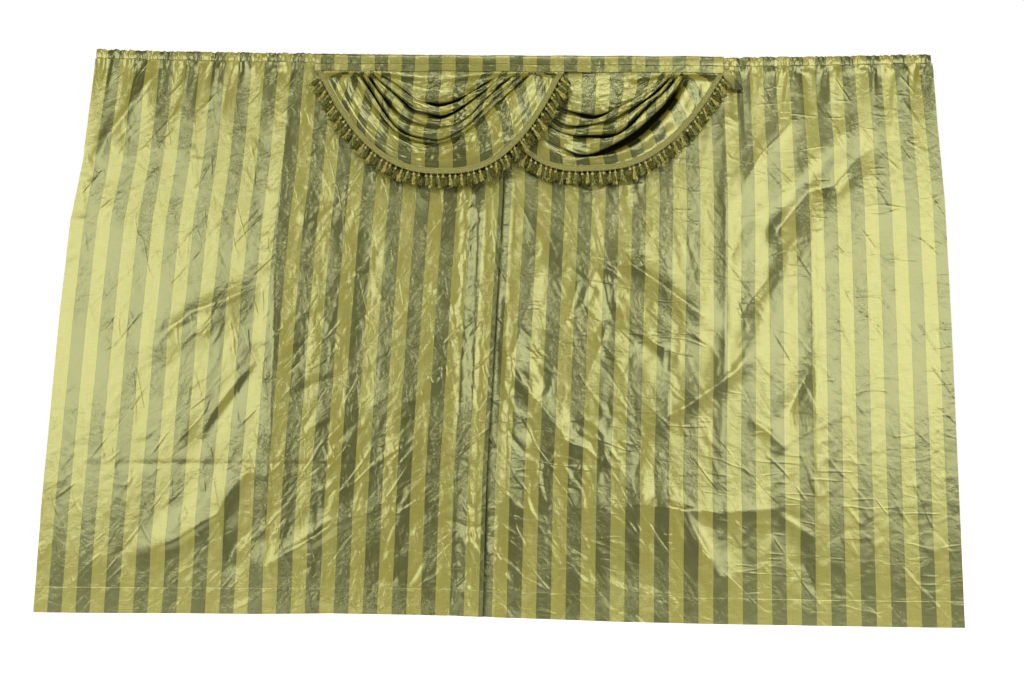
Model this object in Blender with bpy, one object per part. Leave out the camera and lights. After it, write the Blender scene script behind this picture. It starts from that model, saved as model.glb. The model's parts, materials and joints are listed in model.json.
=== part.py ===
"""Curtains with a swag valance.

Two striped silk panels hang side by side from gathered rod pockets. In front of
their middle hangs a valance: a flat band with two overlapping pleated swags,
each edged with braid and a tassel fringe. Metres, +Z up, +X to the right seen
from the front, the front faces -Y. The origin is at the middle of the top edge.
"""
import math

import bmesh
import bpy
from mathutils import Vector

# Cloth and clearances
CLOTH = 0.002
CLEAR = 0.0005

# Headings of the two panels: gathered pockets, open at both ends
POCKET_HEIGHT = 0.042
POCKET_DEPTH = 0.018
POCKET_CHAMFER = 0.003
INNER_CHAMFER = 0.7 * POCKET_CHAMFER
RUCHE = 0.0012
RUCHE_LEAST = 0.30
RUCHE_STEPS = 40
RUCHE_TURN = 2.3
RUCHE_DRIFT = 0.006
RUCHE_DRIFTS = 4.5
HEADING_PART = 0.004

# The top edge, as uneven as it hangs
TOP_LINE = [
    # x, z
    (-1.800, 0.018),
    (-1.470, 0.009),
    (-0.840, 0.003),
    (0.030, -0.003),
    (0.950, -0.007),
    (1.330, -0.002),
    (1.680, 0.007),
    (1.900, 0.014),
]

# Panels
PANEL_WIDTH = 1.90
HEM_LINE = [
    # x, z
    (-1.924, -2.452),
    (-1.000, -2.443),
    (-0.668, -2.434),
    (-0.100, -2.436),
    (0.540, -2.449),
    (1.360, -2.451),
    (1.964, -2.448),
]
LEFT_SIDE = [
    # z, x
    (-2.450, -1.924),
    (-2.025, -1.919),
    (-1.210, -1.895),
    (-0.760, -1.873),
    (-0.490, -1.835),
    (-0.076, -1.808),
    (0.050, -1.800),
]
RIGHT_SIDE = [
    # z, x
    (-2.450, 1.964),
    (-1.210, 1.953),
    (-0.640, 1.942),
    (0.050, 1.900),
]
PARTING = [
    # z, x
    (-2.450, -0.028),
    (-1.850, -0.021),
    (-1.250, 0.003),
    (-0.656, 0.028),
    (0.050, 0.036),
]
LAP = 0.024
LAP_START = -0.06
LAP_GROW = 0.5
HEM_Z = -2.45
SETTLE_STEPS = 3
LAP_FORWARD = 0.0075
LAP_BACK = 0.0045
LAP_REACH = 0.070
WIDE_COLUMNS = 26
EDGE_COLUMNS = 8
EDGE_ZONE = 0.15
PANEL_ROWS = 20
GATHER_OUT = 0.0060
GATHER_PITCH = 0.155
GATHER_START = 0.05
GATHER_FADE = 0.20
GATHER_SWAY = 1.7
GATHER_SWAY_RATE = 3.1
FOLD_START = 0.10
HEM_WAVE = 0.006
HEM_WAVE_RATE = 7.3
HEM_WAVE_SHIFT = 1.2
HEM_WAVE_FROM = -1.5
HEM_WAVE_REACH = 0.9
LAP_FOLDS_KEPT = 0.4

# Behind the valance the panels stay nearly flat
UNDER_LEFT = -0.90
UNDER_RIGHT = 1.10
UNDER_DROP = -0.67
UNDER_BLEND = 0.10
UNDER_LIMIT = 0.006

# Main folds: a soft ridge (out above 0) or trough along a line, reach is its half width
FOLDS_LEFT = [
    # x1, z1, x2, z2, reach, out
    (-1.480, -0.065, -1.750, -0.480, 0.060, 0.017),
    (-1.356, -0.073, -1.636, -0.375, 0.055, -0.015),
    (-1.014, -1.035, -1.455, -1.320, 0.070, 0.022),
    (-1.001, -1.354, -1.250, -1.710, 0.060, -0.019),
    (-1.027, -1.835, -1.440, -2.185, 0.065, 0.022),
    (-1.100, -2.230, -0.946, -2.036, 0.055, -0.017),
    (-0.938, -2.240, -0.560, -2.030, 0.060, 0.017),
    (-0.932, -0.150, -0.956, -2.300, 0.070, 0.019),
    (-0.580, -0.800, -0.540, -2.000, 0.090, -0.014),
    (-1.640, -0.700, -1.700, -2.200, 0.110, 0.014),
    (-0.075, -0.650, -0.100, -2.440, 0.022, 0.017),
    (-0.125, -0.650, -0.160, -2.440, 0.026, -0.014),
]
FOLDS_RIGHT = [
    # x1, z1, x2, z2, reach, out
    (1.582, -0.438, 1.230, -0.770, 0.065, -0.027),
    (1.230, -0.770, 1.058, -1.180, 0.065, -0.024),
    (1.500, -0.350, 1.080, -0.900, 0.060, 0.022),
    (1.303, -0.277, 1.016, -0.670, 0.055, 0.015),
    (0.544, -0.896, 0.913, -1.167, 0.060, 0.017),
    (0.527, -1.180, 0.733, -1.350, 0.055, -0.015),
    (0.715, -1.603, 1.099, -1.312, 0.065, 0.020),
    (1.357, -1.373, 1.247, -1.588, 0.055, -0.015),
    (0.640, -1.924, 0.990, -2.260, 0.065, 0.019),
    (0.290, -1.984, 1.254, -1.969, 0.060, 0.010),
    (0.026, -1.300, 0.330, -1.710, 0.050, 0.017),
    (1.208, -1.995, 1.360, -2.313, 0.060, -0.015),
    (0.160, -1.000, 0.065, -1.960, 0.045, 0.024),
    (1.372, -0.420, 1.372, -2.380, 0.080, 0.012),
]

# Valance: a pocket, and a flat band sewn along its lower edge
BAND_LEFT = -0.812
BAND_RIGHT = 0.990
BAND_TOP = -0.010
BAND_POCKET = 0.045
BAND_HEIGHT = 0.076
BAND_DEPTH = 0.024
BAND_STEPS = 18
BAND_WAVE = 0.0012
BAND_WAVE_TURN = 2.4
BAND_BACK = -(POCKET_DEPTH / 2 + RUCHE + CLEAR)
BAND_MIDDLE = BAND_BACK - BAND_DEPTH / 2
BAND_Y = BAND_BACK - BAND_DEPTH + POCKET_CHAMFER + CLOTH / 2

# Swags: each row is a line from one end of the band to the other, lowest at x_low
SWAG_HANG = -0.062
SWAG_COLUMNS = 24
SWAG_END = 0.978
SWAG_CROWD = 0.93
TUCK = BAND_Y + CLOTH + CLEAR
PLEAT_STEP = 0.0035
SPREAD_START = -0.112
SPREAD_REACH = 0.10
SWAG_LEFT = [
    # name, x_left, x_low, x_right, z_low, bow_left, bow_right, out
    ("top edge", -0.530, -0.250, 0.037, -0.062, 2.0, 2.0, 0.000),
    ("under band", -0.533, -0.250, 0.040, -0.100, 4.0, 4.0, 0.002),
    ("flat face", -0.538, -0.250, 0.044, -0.196, 3.4, 3.0, 0.022),
    ("crevice 1", -0.553, -0.250, 0.060, -0.221, 3.2, 2.8, 0.005),
    ("fold 1", -0.567, -0.250, 0.074, -0.246, 3.2, 2.6, 0.030),
    ("crevice 2", -0.581, -0.250, 0.090, -0.272, 3.2, 2.5, 0.007),
    ("fold 2", -0.595, -0.250, 0.104, -0.310, 3.2, 2.4, 0.037),
    ("crevice 3", -0.609, -0.250, 0.118, -0.344, 3.2, 2.3, 0.010),
    ("fold 3", -0.624, -0.250, 0.132, -0.371, 3.2, 2.3, 0.043),
    ("crevice 4", -0.639, -0.250, 0.146, -0.398, 3.2, 2.2, 0.013),
    ("fold 4", -0.654, -0.250, 0.160, -0.421, 3.2, 2.2, 0.045),
    ("crevice 5", -0.670, -0.250, 0.174, -0.443, 3.2, 2.2, 0.015),
    ("apron top", -0.694, -0.250, 0.196, -0.467, 3.1, 2.3, 0.040),
    ("apron", -0.744, -0.250, 0.240, -0.500, 2.7, 2.5, 0.031),
    ("braid line", -0.789, -0.250, 0.277, -0.529, 2.4, 2.7, 0.018),
    ("edge", -0.812, -0.250, 0.300, -0.554, 2.4, 2.7, 0.016),
]
SWAG_RIGHT = [
    # name, x_left, x_low, x_right, z_low, bow_left, bow_right, out
    ("top edge", 0.122, 0.430, 0.750, -0.062, 2.0, 2.0, 0.000),
    ("under band", 0.119, 0.430, 0.753, -0.100, 4.0, 4.0, 0.002),
    ("flat face", 0.114, 0.430, 0.757, -0.238, 2.8, 2.3, 0.022),
    ("crevice 1", 0.102, 0.425, 0.767, -0.265, 2.7, 2.1, 0.005),
    ("fold 1", 0.089, 0.415, 0.778, -0.290, 2.7, 2.1, 0.033),
    ("crevice 2", 0.076, 0.405, 0.790, -0.315, 2.7, 2.1, 0.008),
    ("fold 2", 0.063, 0.400, 0.804, -0.350, 2.7, 2.2, 0.040),
    ("crevice 3", 0.049, 0.395, 0.818, -0.381, 2.7, 2.2, 0.011),
    ("fold 3", 0.035, 0.390, 0.832, -0.418, 2.7, 2.3, 0.044),
    ("crevice 4", 0.020, 0.390, 0.848, -0.450, 2.7, 2.4, 0.014),
    ("apron top", -0.004, 0.400, 0.880, -0.480, 2.7, 2.4, 0.037),
    ("braid line", -0.101, 0.410, 0.980, -0.511, 2.8, 2.4, 0.018),
    ("edge", -0.123, 0.415, 1.003, -0.535, 2.8, 2.4, 0.016),
]
# Where the swags cross, the left one stands forward and the right one lies flat
LEFT_OVER = 0.027
LEFT_OVER_FROM = -0.10
LEFT_OVER_TO = 0.15
RIGHT_UNDER = 0.0115
RIGHT_FLAT = 0.25
RIGHT_FLAT_FROM = 0.26
RIGHT_FLAT_TO = 0.47

# Braid and tassel fringe
BRAID_THICK = 0.0025
BRAID_START = -0.089
FRINGE_START = -0.101
EDGE_GAP = 0.0009
STRIP_DEEP = 0.004
STRIP_TALL = 0.004
TASSELS = 58
TASSEL_ROOT = 0.34
TASSEL_OUTWARD = 0.6
TASSEL_PROFILE = [
    # along, wide, deep
    (0.010, 0.0125, 0.0080),
    (0.060, 0.0190, 0.0090),
]
TASSEL_LENGTHS = [0.97, 1.04, 0.93, 1.00, 1.06, 0.95, 1.02]

# Corner flap at the right end of the valance
FLAP_BACK = CLOTH + CLEAR
FLAP_OUTLINE = [
    # x, z, forward
    (0.972, -0.064, 0.0000),
    (1.012, -0.064, 0.0000),
    (1.031, -0.094, -0.0020),
    (1.047, -0.118, -0.0030),
    (1.074, -0.157, -0.0020),
    (1.052, -0.163, -0.0035),
    (1.014, -0.140, -0.0035),
]

COLOURS = {
    "silk": (0.40, 0.38, 0.12, 1.0, 0.38),
    "swag": (0.34, 0.33, 0.10, 1.0, 0.36),
    "braid": (0.34, 0.28, 0.08, 1.0, 0.60),
    "yarn": (0.22, 0.20, 0.07, 1.0, 0.65),
}


def smooth(t):
    t = max(0.0, min(1.0, t))
    return t * t * (3.0 - 2.0 * t)


def line_at(table, key):
    """Read a two-column table at a place between its rows."""
    if key <= table[0][0]:
        return table[0][1]
    for (k1, v1), (k2, v2) in zip(table, table[1:]):
        if key <= k2:
            return v1 + (v2 - v1) * (key - k1) / (k2 - k1)
    return table[-1][1]


def material(name, look):
    red, green, blue, alpha, rough = COLOURS[look]
    mat = bpy.data.materials.new(name)
    mat.use_nodes = True
    shader = mat.node_tree.nodes["Principled BSDF"]
    shader.inputs["Base Color"].default_value = (red, green, blue, alpha)
    shader.inputs["Roughness"].default_value = rough
    shader.inputs["Metallic"].default_value = 0.0
    mat.diffuse_color = (red, green, blue, alpha)
    return mat


def add_object(name, points, faces, look):
    mesh = bpy.data.meshes.new(name)
    mesh.from_pydata([tuple(p) for p in points], [], faces)
    mesh.update()
    mesh.materials.append(material(name, look))
    obj = bpy.data.objects.new(name, mesh)
    bpy.context.scene.collection.objects.link(obj)
    return obj


def sheet(name, rows, look):
    """A grid of points, given the cloth's thickness and closed at its edges."""
    wide = len(rows[0])
    points = [p for row in rows for p in row]
    faces = []
    for j in range(len(rows) - 1):
        for i in range(wide - 1):
            a = j * wide + i
            faces.append((a, a + wide, a + wide + 1, a + 1))
    obj = add_object(name, points, faces, look)
    solid = obj.modifiers.new("Cloth thickness", "SOLIDIFY")
    solid.thickness = CLOTH
    solid.offset = 0.0
    return obj


def box_ribbon(name, sections, look):
    """Closed bar through four-cornered sections."""
    points = [p for section in sections for p in section]
    faces = [(3, 2, 1, 0)]
    last = 4 * (len(sections) - 1)
    for s in range(len(sections) - 1):
        for k in range(4):
            a = 4 * s + k
            b = 4 * s + (k + 1) % 4
            faces.append((a, b, b + 4, a + 4))
    faces.append((last, last + 1, last + 2, last + 3))
    return add_object(name, points, faces, look)


def open_pocket(name, stations, look):
    """A cloth tube open at both ends, from outer and inner sections of equal count."""
    count = len(stations[0][0])
    points = []
    for outer, inner in stations:
        points += outer + inner
    faces = []
    for s in range(len(stations) - 1):
        a = 2 * count * s
        b = a + 2 * count
        for k in range(count):
            n = (k + 1) % count
            faces.append((a + k, a + n, b + n, b + k))
            faces.append((a + count + n, a + count + k, b + count + k, b + count + n))
    end = 2 * count * (len(stations) - 1)
    for k in range(count):
        n = (k + 1) % count
        faces.append((n, k, count + k, count + n))
        faces.append((end + k, end + n, end + count + n, end + count + k))
    return add_object(name, points, faces, look)


def pocket_section(half, height, chamfer):
    """Corners of a pocket's section, as y and z below its top, front side first."""
    return [
        (-half + chamfer, 0.0),
        (-half, -chamfer),
        (-half, -height + chamfer),
        (-half + chamfer, -height),
        (half - chamfer, -height),
        (half, -height + chamfer),
        (half, -chamfer),
        (half - chamfer, 0.0),
    ]


def heading(name, x_start, x_end):
    outer = pocket_section(POCKET_DEPTH / 2, POCKET_HEIGHT, POCKET_CHAMFER)
    inner = [
        (y, z - CLOTH)
        for y, z in pocket_section(
            POCKET_DEPTH / 2 - CLOTH, POCKET_HEIGHT - 2 * CLOTH, INNER_CHAMFER
        )
    ]
    stations = []
    for i in range(RUCHE_STEPS + 1):
        part = i / RUCHE_STEPS
        drift = RUCHE_DRIFT * math.sin(2 * math.pi * RUCHE_DRIFTS * part)
        if i in (0, RUCHE_STEPS):
            drift = 0.0
        x = x_start + (x_end - x_start) * (part + drift)
        strength = (1 + RUCHE_LEAST + (1 - RUCHE_LEAST) * math.cos(RUCHE_TURN * i)) / 2
        wave = RUCHE * strength * (1 if i % 2 else -1)
        top = line_at(TOP_LINE, x)
        rings = []
        for section in (outer, inner):
            ring = []
            for y, z in section:
                at_side = abs(y) > POCKET_DEPTH / 2 - 1.5 * CLOTH
                dy = wave * (-1 if y < 0 else 1) if at_side else 0.0
                dz = wave if z > -POCKET_HEIGHT / 4 else 0.0
                ring.append(Vector((x, y + dy, top + z + dz)))
            rings.append(ring)
        stations.append(rings)
    return open_pocket(name, stations, "silk")


def fold_height(x, z, folds):
    """Forward reach of the main folds at a place on a panel."""
    total = 0.0
    for x1, z1, x2, z2, reach, out in folds:
        dx = x2 - x1
        dz = z2 - z1
        along = ((x - x1) * dx + (z - z1) * dz) / (dx * dx + dz * dz)
        nearest = max(0.0, min(1.0, along))
        gap = math.hypot(x - x1 - nearest * dx, z - z1 - nearest * dz)
        total += out * math.exp(-((gap / reach) ** 2))
    return total


def gathers(x, down):
    """Puckers that fade below a heading."""
    wave = math.sin(2 * math.pi * x / GATHER_PITCH + GATHER_SWAY * math.sin(GATHER_SWAY_RATE * x))
    fade = math.exp(-(max(0.0, down - GATHER_START) / GATHER_FADE) ** 2)
    return GATHER_OUT * wave * fade * smooth(down / GATHER_START)


def hem_wave(x, z):
    wave = math.sin(HEM_WAVE_RATE * x + HEM_WAVE_SHIFT)
    return HEM_WAVE * wave * smooth((HEM_WAVE_FROM - z) / HEM_WAVE_REACH)


def behind_valance(x, z):
    """1 where the valance hangs in front, 0 well away from it."""
    inside = smooth((x - UNDER_LEFT) / UNDER_BLEND + 0.5)
    inside *= smooth((UNDER_RIGHT - x) / UNDER_BLEND + 0.5)
    return inside * smooth((z - UNDER_DROP) / UNDER_BLEND + 0.5)


def panel_depth(x, z, top, edge_distance, folds, in_front):
    """Y of a panel's cloth: gathers, main folds, hem wave and the lap at the parting."""
    down = top - z
    depth = gathers(x, down) + fold_height(x, z, folds) * smooth(down / FOLD_START) + hem_wave(x, z)
    limited = max(-UNDER_LIMIT, min(UNDER_LIMIT, depth))
    depth += (limited - depth) * behind_valance(x, z)
    near_edge = 1.0 - smooth(edge_distance / LAP_REACH)
    if in_front:
        depth = depth * (1.0 - (1.0 - LAP_FOLDS_KEPT) * near_edge) + LAP_FORWARD * near_edge
    else:
        depth = depth * (1.0 - near_edge) - LAP_BACK * near_edge
    return -depth


def column_shares():
    """Places across a panel from its outer side, closer together beside the parting."""
    zone = EDGE_ZONE / PANEL_WIDTH
    wide = [k / WIDE_COLUMNS * (1.0 - zone) for k in range(WIDE_COLUMNS)]
    return wide + [1.0 - zone * (1.0 - k / EDGE_COLUMNS) for k in range(EDGE_COLUMNS + 1)]


def panel(name, folds, left):
    """A hung panel between the top line and the hem line."""
    rows = []
    for j in range(PANEL_ROWS + 1):
        share = j / PANEL_ROWS
        row = []
        for part in column_shares():
            z = HEM_Z * share
            for _ in range(SETTLE_STEPS):
                if left:
                    outer_x = line_at(LEFT_SIDE, z)
                    inner_x = line_at(PARTING, z)
                else:
                    outer_x = line_at(RIGHT_SIDE, z)
                    inner_x = line_at(PARTING, z) - LAP * smooth((LAP_START - z) / LAP_GROW)
                x = outer_x + (inner_x - outer_x) * part
                top = line_at(TOP_LINE, x) - POCKET_HEIGHT - CLEAR
                z = top + (line_at(HEM_LINE, x) - top) * share
            y = panel_depth(x, z, top, abs(x - inner_x), folds, left)
            row.append(Vector((x, y, z)))
        if not left:
            row.reverse()
        rows.append(row)
    return sheet(name, rows, "silk")


def valance_top(i):
    """X and top of the valance at one of its stations."""
    x = BAND_LEFT + (BAND_RIGHT - BAND_LEFT) * i / BAND_STEPS
    return x, BAND_TOP + BAND_WAVE * math.sin(BAND_WAVE_TURN * i)


def valance_heading():
    half = BAND_DEPTH / 2
    outer = pocket_section(half, BAND_POCKET, POCKET_CHAMFER)
    inner = [
        (y, z - CLOTH)
        for y, z in pocket_section(half - CLOTH, BAND_POCKET - 2 * CLOTH, INNER_CHAMFER)
    ]
    stations = []
    for i in range(BAND_STEPS + 1):
        x, top = valance_top(i)
        rings = []
        for section in (outer, inner):
            rings.append([Vector((x, BAND_MIDDLE + y, top + z)) for y, z in section])
        stations.append(rings)
    return open_pocket("valance_heading", stations, "silk")


def valance_band():
    rows = []
    for drop in (BAND_POCKET + CLEAR, (BAND_POCKET + BAND_HEIGHT) / 2, BAND_HEIGHT):
        row = []
        for i in range(BAND_STEPS + 1):
            x, top = valance_top(i)
            row.append(Vector((x, BAND_Y, top - drop)))
        rows.append(row)
    return sheet("valance_band", rows, "silk")


def left_depth(x, z, name, out):
    """Y of the left swag, which stands forward where it crosses the right one."""
    back = PLEAT_STEP if name.startswith("crevice") else 0.0
    spread = smooth((SPREAD_START - z) / SPREAD_REACH)
    over = LEFT_OVER * smooth((x - LEFT_OVER_FROM) / (LEFT_OVER_TO - LEFT_OVER_FROM))
    return TUCK + back - (out + over) * spread


def right_depth(x, z, name, out):
    """Y of the right swag, which lies flat and further back under the left one."""
    back = PLEAT_STEP if name.startswith("crevice") else 0.0
    spread = smooth((SPREAD_START - z) / SPREAD_REACH)
    free = smooth((x - RIGHT_FLAT_FROM) / (RIGHT_FLAT_TO - RIGHT_FLAT_FROM))
    out *= RIGHT_FLAT + (1.0 - RIGHT_FLAT) * free
    return TUCK + back + RIGHT_UNDER * (1.0 - free) - out * spread


def swag_places():
    """Places along a row from -1 to 1, closer together towards its ends."""
    steps = SWAG_COLUMNS - 2
    quarter = math.pi / 2 * SWAG_CROWD
    inside = [math.sin(quarter * (2 * i / steps - 1)) / math.sin(quarter) for i in range(steps + 1)]
    return [-1.0] + [SWAG_END * t for t in inside] + [1.0]


def swag_row(row, depth):
    name, x_left, x_low, x_right, z_low, bow_left, bow_right, out = row
    points = []
    for t in swag_places():
        half = x_low - x_left if t < 0 else x_right - x_low
        bow = bow_left if t < 0 else bow_right
        x = x_low + t * half
        z = SWAG_HANG + (z_low - SWAG_HANG) * (1.0 - abs(t) ** bow)
        points.append(Vector((x, depth(x, z, name, out), z)))
    return points


def swag(name, table, depth):
    rows = [swag_row(row, depth) for row in table]
    return sheet(name, rows, "swag"), rows


def outward(before, after):
    """Direction away from the swag, square to its edge."""
    along = (after - before).normalized()
    return Vector((along.z, 0.0, -along.x))


def braid(name, rows):
    """The woven braid, in front of the swag's last strip of cloth."""
    upper, lower = rows[-2], rows[-1]
    lift = CLOTH / 2 + CLEAR
    sections = []
    for u, l in zip(upper, lower):
        if max(u.z, l.z) > BRAID_START:
            continue
        back = Vector((0.0, -lift, 0.0))
        front = Vector((0.0, -lift - BRAID_THICK, 0.0))
        sections.append([u + back, l + back, l + front, u + front])
    return box_ribbon(name, sections, "braid")


def walk(points, distance):
    """The place and the direction at a distance along a line of points."""
    for a, b in zip(points, points[1:]):
        step = (b - a).length
        if distance <= step:
            return a + (b - a) * (distance / step), (b - a).normalized()
        distance -= step
    return points[-1].copy(), (points[-1] - points[-2]).normalized()


def fringe(name, edge):
    """One strip along the swag's edge, with a tassel grown from it at each pitch."""
    line = [p for p in edge if p.z < FRINGE_START]
    shifted = []
    for i, p in enumerate(line):
        before = line[max(0, i - 1)]
        after = line[min(len(line) - 1, i + 1)]
        away = outward(before, after)
        shifted.append(p + away * EDGE_GAP + Vector((0.0, -CLOTH, 0.0)))
    length = sum((b - a).length for a, b in zip(shifted, shifted[1:]))
    pitch = length / TASSELS
    points = []
    faces = []

    def section(distance):
        place, along = walk(shifted, distance)
        away = Vector((along.z, 0.0, -along.x)).normalized()
        half = Vector((0.0, STRIP_DEEP / 2, 0.0))
        far = place + away * STRIP_TALL
        start = len(points)
        points.extend([place - half, place + half, far + half, far - half])
        return start, along, away

    previous = None
    for i in range(TASSELS):
        first = (i + 0.5 - TASSEL_ROOT / 2) * pitch
        second = (i + 0.5 + TASSEL_ROOT / 2) * pitch
        a, along, away = section(first)
        if previous is None:
            faces.append((a + 3, a + 2, a + 1, a))
        else:
            for k in range(4):
                n = (k + 1) % 4
                faces.append((previous + k, previous + n, a + n, a + k))
        b, along, away = section(second)
        for k in (0, 1, 3):
            n = (k + 1) % 4
            faces.append((a + k, a + n, b + n, b + k))
        root = (points[a + 2] + points[b + 2] + points[a + 3] + points[b + 3]) / 4
        hang = (away * TASSEL_OUTWARD + Vector((0, 0, -1)) * (1 - TASSEL_OUTWARD)).normalized()
        side = hang.cross(Vector((0.0, -1.0, 0.0))).normalized()
        if side.dot(along) < 0:
            side = -side
        ring = (a + 3, a + 2, b + 2, b + 3)
        reach = TASSEL_LENGTHS[i % len(TASSEL_LENGTHS)]
        for distance, wide, deep in TASSEL_PROFILE:
            centre = root + hang * distance * reach
            start = len(points)
            front = Vector((0.0, -deep / 2, 0.0))
            points.extend([
                centre - side * wide / 2 + front,
                centre - side * wide / 2 - front,
                centre + side * wide / 2 - front,
                centre + side * wide / 2 + front,
            ])
            new = (start, start + 1, start + 2, start + 3)
            for k in range(4):
                n = (k + 1) % 4
                faces.append((ring[k], ring[n], new[n], new[k]))
            ring = new
        faces.append(ring)
        previous = b
    faces.append((previous, previous + 1, previous + 2, previous + 3))
    return add_object(name, points, faces, "yarn")


def corner_flap():
    level = TUCK + FLAP_BACK
    front = [Vector((x, level - forward - CLOTH / 2, z)) for x, z, forward in FLAP_OUTLINE]
    back = [p + Vector((0.0, CLOTH, 0.0)) for p in front]
    count = len(front)
    faces = [tuple(range(count)), tuple(range(2 * count - 1, count - 1, -1))]
    for k in range(count):
        n = (k + 1) % count
        faces.append((n, k, count + k, count + n))
    return add_object("corner_flap", front + back, faces, "swag")


def outward_faces(obj):
    """Turn every face of a closed mesh outward."""
    work = bmesh.new()
    work.from_mesh(obj.data)
    bmesh.ops.recalc_face_normals(work, faces=work.faces)
    work.to_mesh(obj.data)
    work.free()


def main():
    for obj in list(bpy.data.objects):
        bpy.data.objects.remove(obj, do_unlink=True)
    middle = line_at(PARTING, 0.0)
    made = [
        heading("heading_left", LEFT_SIDE[-1][1], middle - HEADING_PART / 2),
        heading("heading_right", middle + HEADING_PART / 2, RIGHT_SIDE[-1][1]),
        panel("curtain_left", FOLDS_LEFT, True),
        panel("curtain_right", FOLDS_RIGHT, False),
        valance_heading(),
        valance_band(),
        corner_flap(),
    ]
    for side, table, depth in (
        ("left", SWAG_LEFT, left_depth),
        ("right", SWAG_RIGHT, right_depth),
    ):
        cloth, rows = swag("swag_" + side, table, depth)
        made.append(cloth)
        made.append(braid("braid_" + side, rows))
        made.append(fringe("fringe_" + side, rows[-1]))
    for obj in made:
        if not obj.modifiers:
            outward_faces(obj)


main()
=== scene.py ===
# %% [markdown]
# # Dressing a pair of striped silk curtains and their swag valance
# The solids already say where each piece hangs. This lesson lays fine cloth on them:
# two crumpled silk panels, their gathered headings, a flat band, two pleated swags,
# and the braid and tassels along the swags' edges.

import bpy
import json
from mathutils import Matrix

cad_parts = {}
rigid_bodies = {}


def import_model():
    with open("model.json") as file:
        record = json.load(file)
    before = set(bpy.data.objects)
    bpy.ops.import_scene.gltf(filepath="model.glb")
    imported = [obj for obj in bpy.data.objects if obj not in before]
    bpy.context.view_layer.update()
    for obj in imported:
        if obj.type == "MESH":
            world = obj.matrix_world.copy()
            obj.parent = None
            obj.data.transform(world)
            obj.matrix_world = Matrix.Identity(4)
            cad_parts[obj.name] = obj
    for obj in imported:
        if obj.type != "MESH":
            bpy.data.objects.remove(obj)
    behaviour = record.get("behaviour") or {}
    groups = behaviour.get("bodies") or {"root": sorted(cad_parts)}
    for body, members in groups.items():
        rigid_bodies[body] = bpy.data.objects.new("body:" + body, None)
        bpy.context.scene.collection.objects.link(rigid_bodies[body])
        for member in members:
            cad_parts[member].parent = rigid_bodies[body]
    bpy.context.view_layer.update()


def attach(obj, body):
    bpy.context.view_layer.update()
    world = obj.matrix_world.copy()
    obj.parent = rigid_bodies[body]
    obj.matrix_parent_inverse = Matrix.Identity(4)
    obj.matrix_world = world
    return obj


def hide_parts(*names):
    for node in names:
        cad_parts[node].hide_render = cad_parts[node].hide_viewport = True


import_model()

# %% Tools for arrays and meshes
import json
import math

import bpy
import numpy as np
from mathutils import Matrix, Vector

# %% [markdown]
# ## Small helpers
# Cloth is easiest to shape as a grid of points: one array each for across, up and depth.
# A cloth simulation could drape it, but then no crease lies where the real one does.
# These helpers blend, look up a table row and make seeded noise, so every run is the same.


# %% Blend, look up, noise
def smooth(t):
    t = np.clip(t, 0.0, 1.0)
    return t * t * (3.0 - 2.0 * t)


def look_up(table, key):
    """Second column of a table at a place between the rows of its first column."""
    rows = np.array(table)
    return np.interp(key, rows[:, 0], rows[:, 1])


def hashed(i, j, seed):
    """A repeatable number from 0 to 1 for each pair of whole numbers."""
    h = np.sin(i * 127.1 + j * 311.7 + seed * 74.7) * 43758.5453
    return h - np.floor(h)


def noise(x, z, cell, seed):
    """Smooth heights from -1 to 1, one random value per cell."""
    gx, gz = x / cell, z / cell
    ix, iz = np.floor(gx), np.floor(gz)
    fx, fz = smooth(gx - ix), smooth(gz - iz)
    low = hashed(ix, iz, seed) * (1 - fx) + hashed(ix + 1, iz, seed) * fx
    high = hashed(ix, iz + 1, seed) * (1 - fx) + hashed(ix + 1, iz + 1, seed) * fx
    return 2 * (low * (1 - fz) + high * fz) - 1


def patches(x, z, cell, seed):
    """Distance to the nearest scattered point: flat patches that meet in sharp ridges."""
    gx, gz = x / cell, z / cell
    ix, iz = np.floor(gx), np.floor(gz)
    nearest = np.full_like(gx, 9.0)
    for i in (-1, 0, 1):
        for j in (-1, 0, 1):
            px = ix + i + hashed(ix + i, iz + j, seed)
            pz = iz + j + hashed(ix + i, iz + j, seed + 5)
            nearest = np.minimum(nearest, np.hypot(gx - px, gz - pz))
    return nearest


# %% [markdown]
# ## A grid becomes cloth
# The cloth map keeps the flat cut's own metres, so stripes stay straight on the cloth
# however it folds. Solidify gives the silk its thickness where its edges show. The two
# large panels are one layer. A second map, the gap map, carries painted shade: where the
# cloth lies deep in a gap between folds it darkens the colour and dulls the gloss, since
# real layered silk goes darker there than one sheet can.

# %% Grid to cloth
SILK_THICK = 0.0008


def link_mesh(name, points, faces, material):
    mesh = bpy.data.meshes.new(name)
    mesh.from_pydata(points, [], faces)
    mesh.materials.append(material)
    mesh.shade_smooth()
    piece = bpy.data.objects.new(name, mesh)
    bpy.context.scene.collection.objects.link(piece)
    return piece


def grid_faces(down, across, closed=False):
    """Quads of a grid, front side towards -Y where x grows across and z falls down."""
    last = across if closed else across - 1
    j, i = np.meshgrid(np.arange(down - 1), np.arange(last), indexing="ij")
    n = (i + 1) % across
    row, below = j * across, (j + 1) * across
    return np.stack([row + i, below + i, below + n, row + n], -1).reshape(-1, 4)


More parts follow.
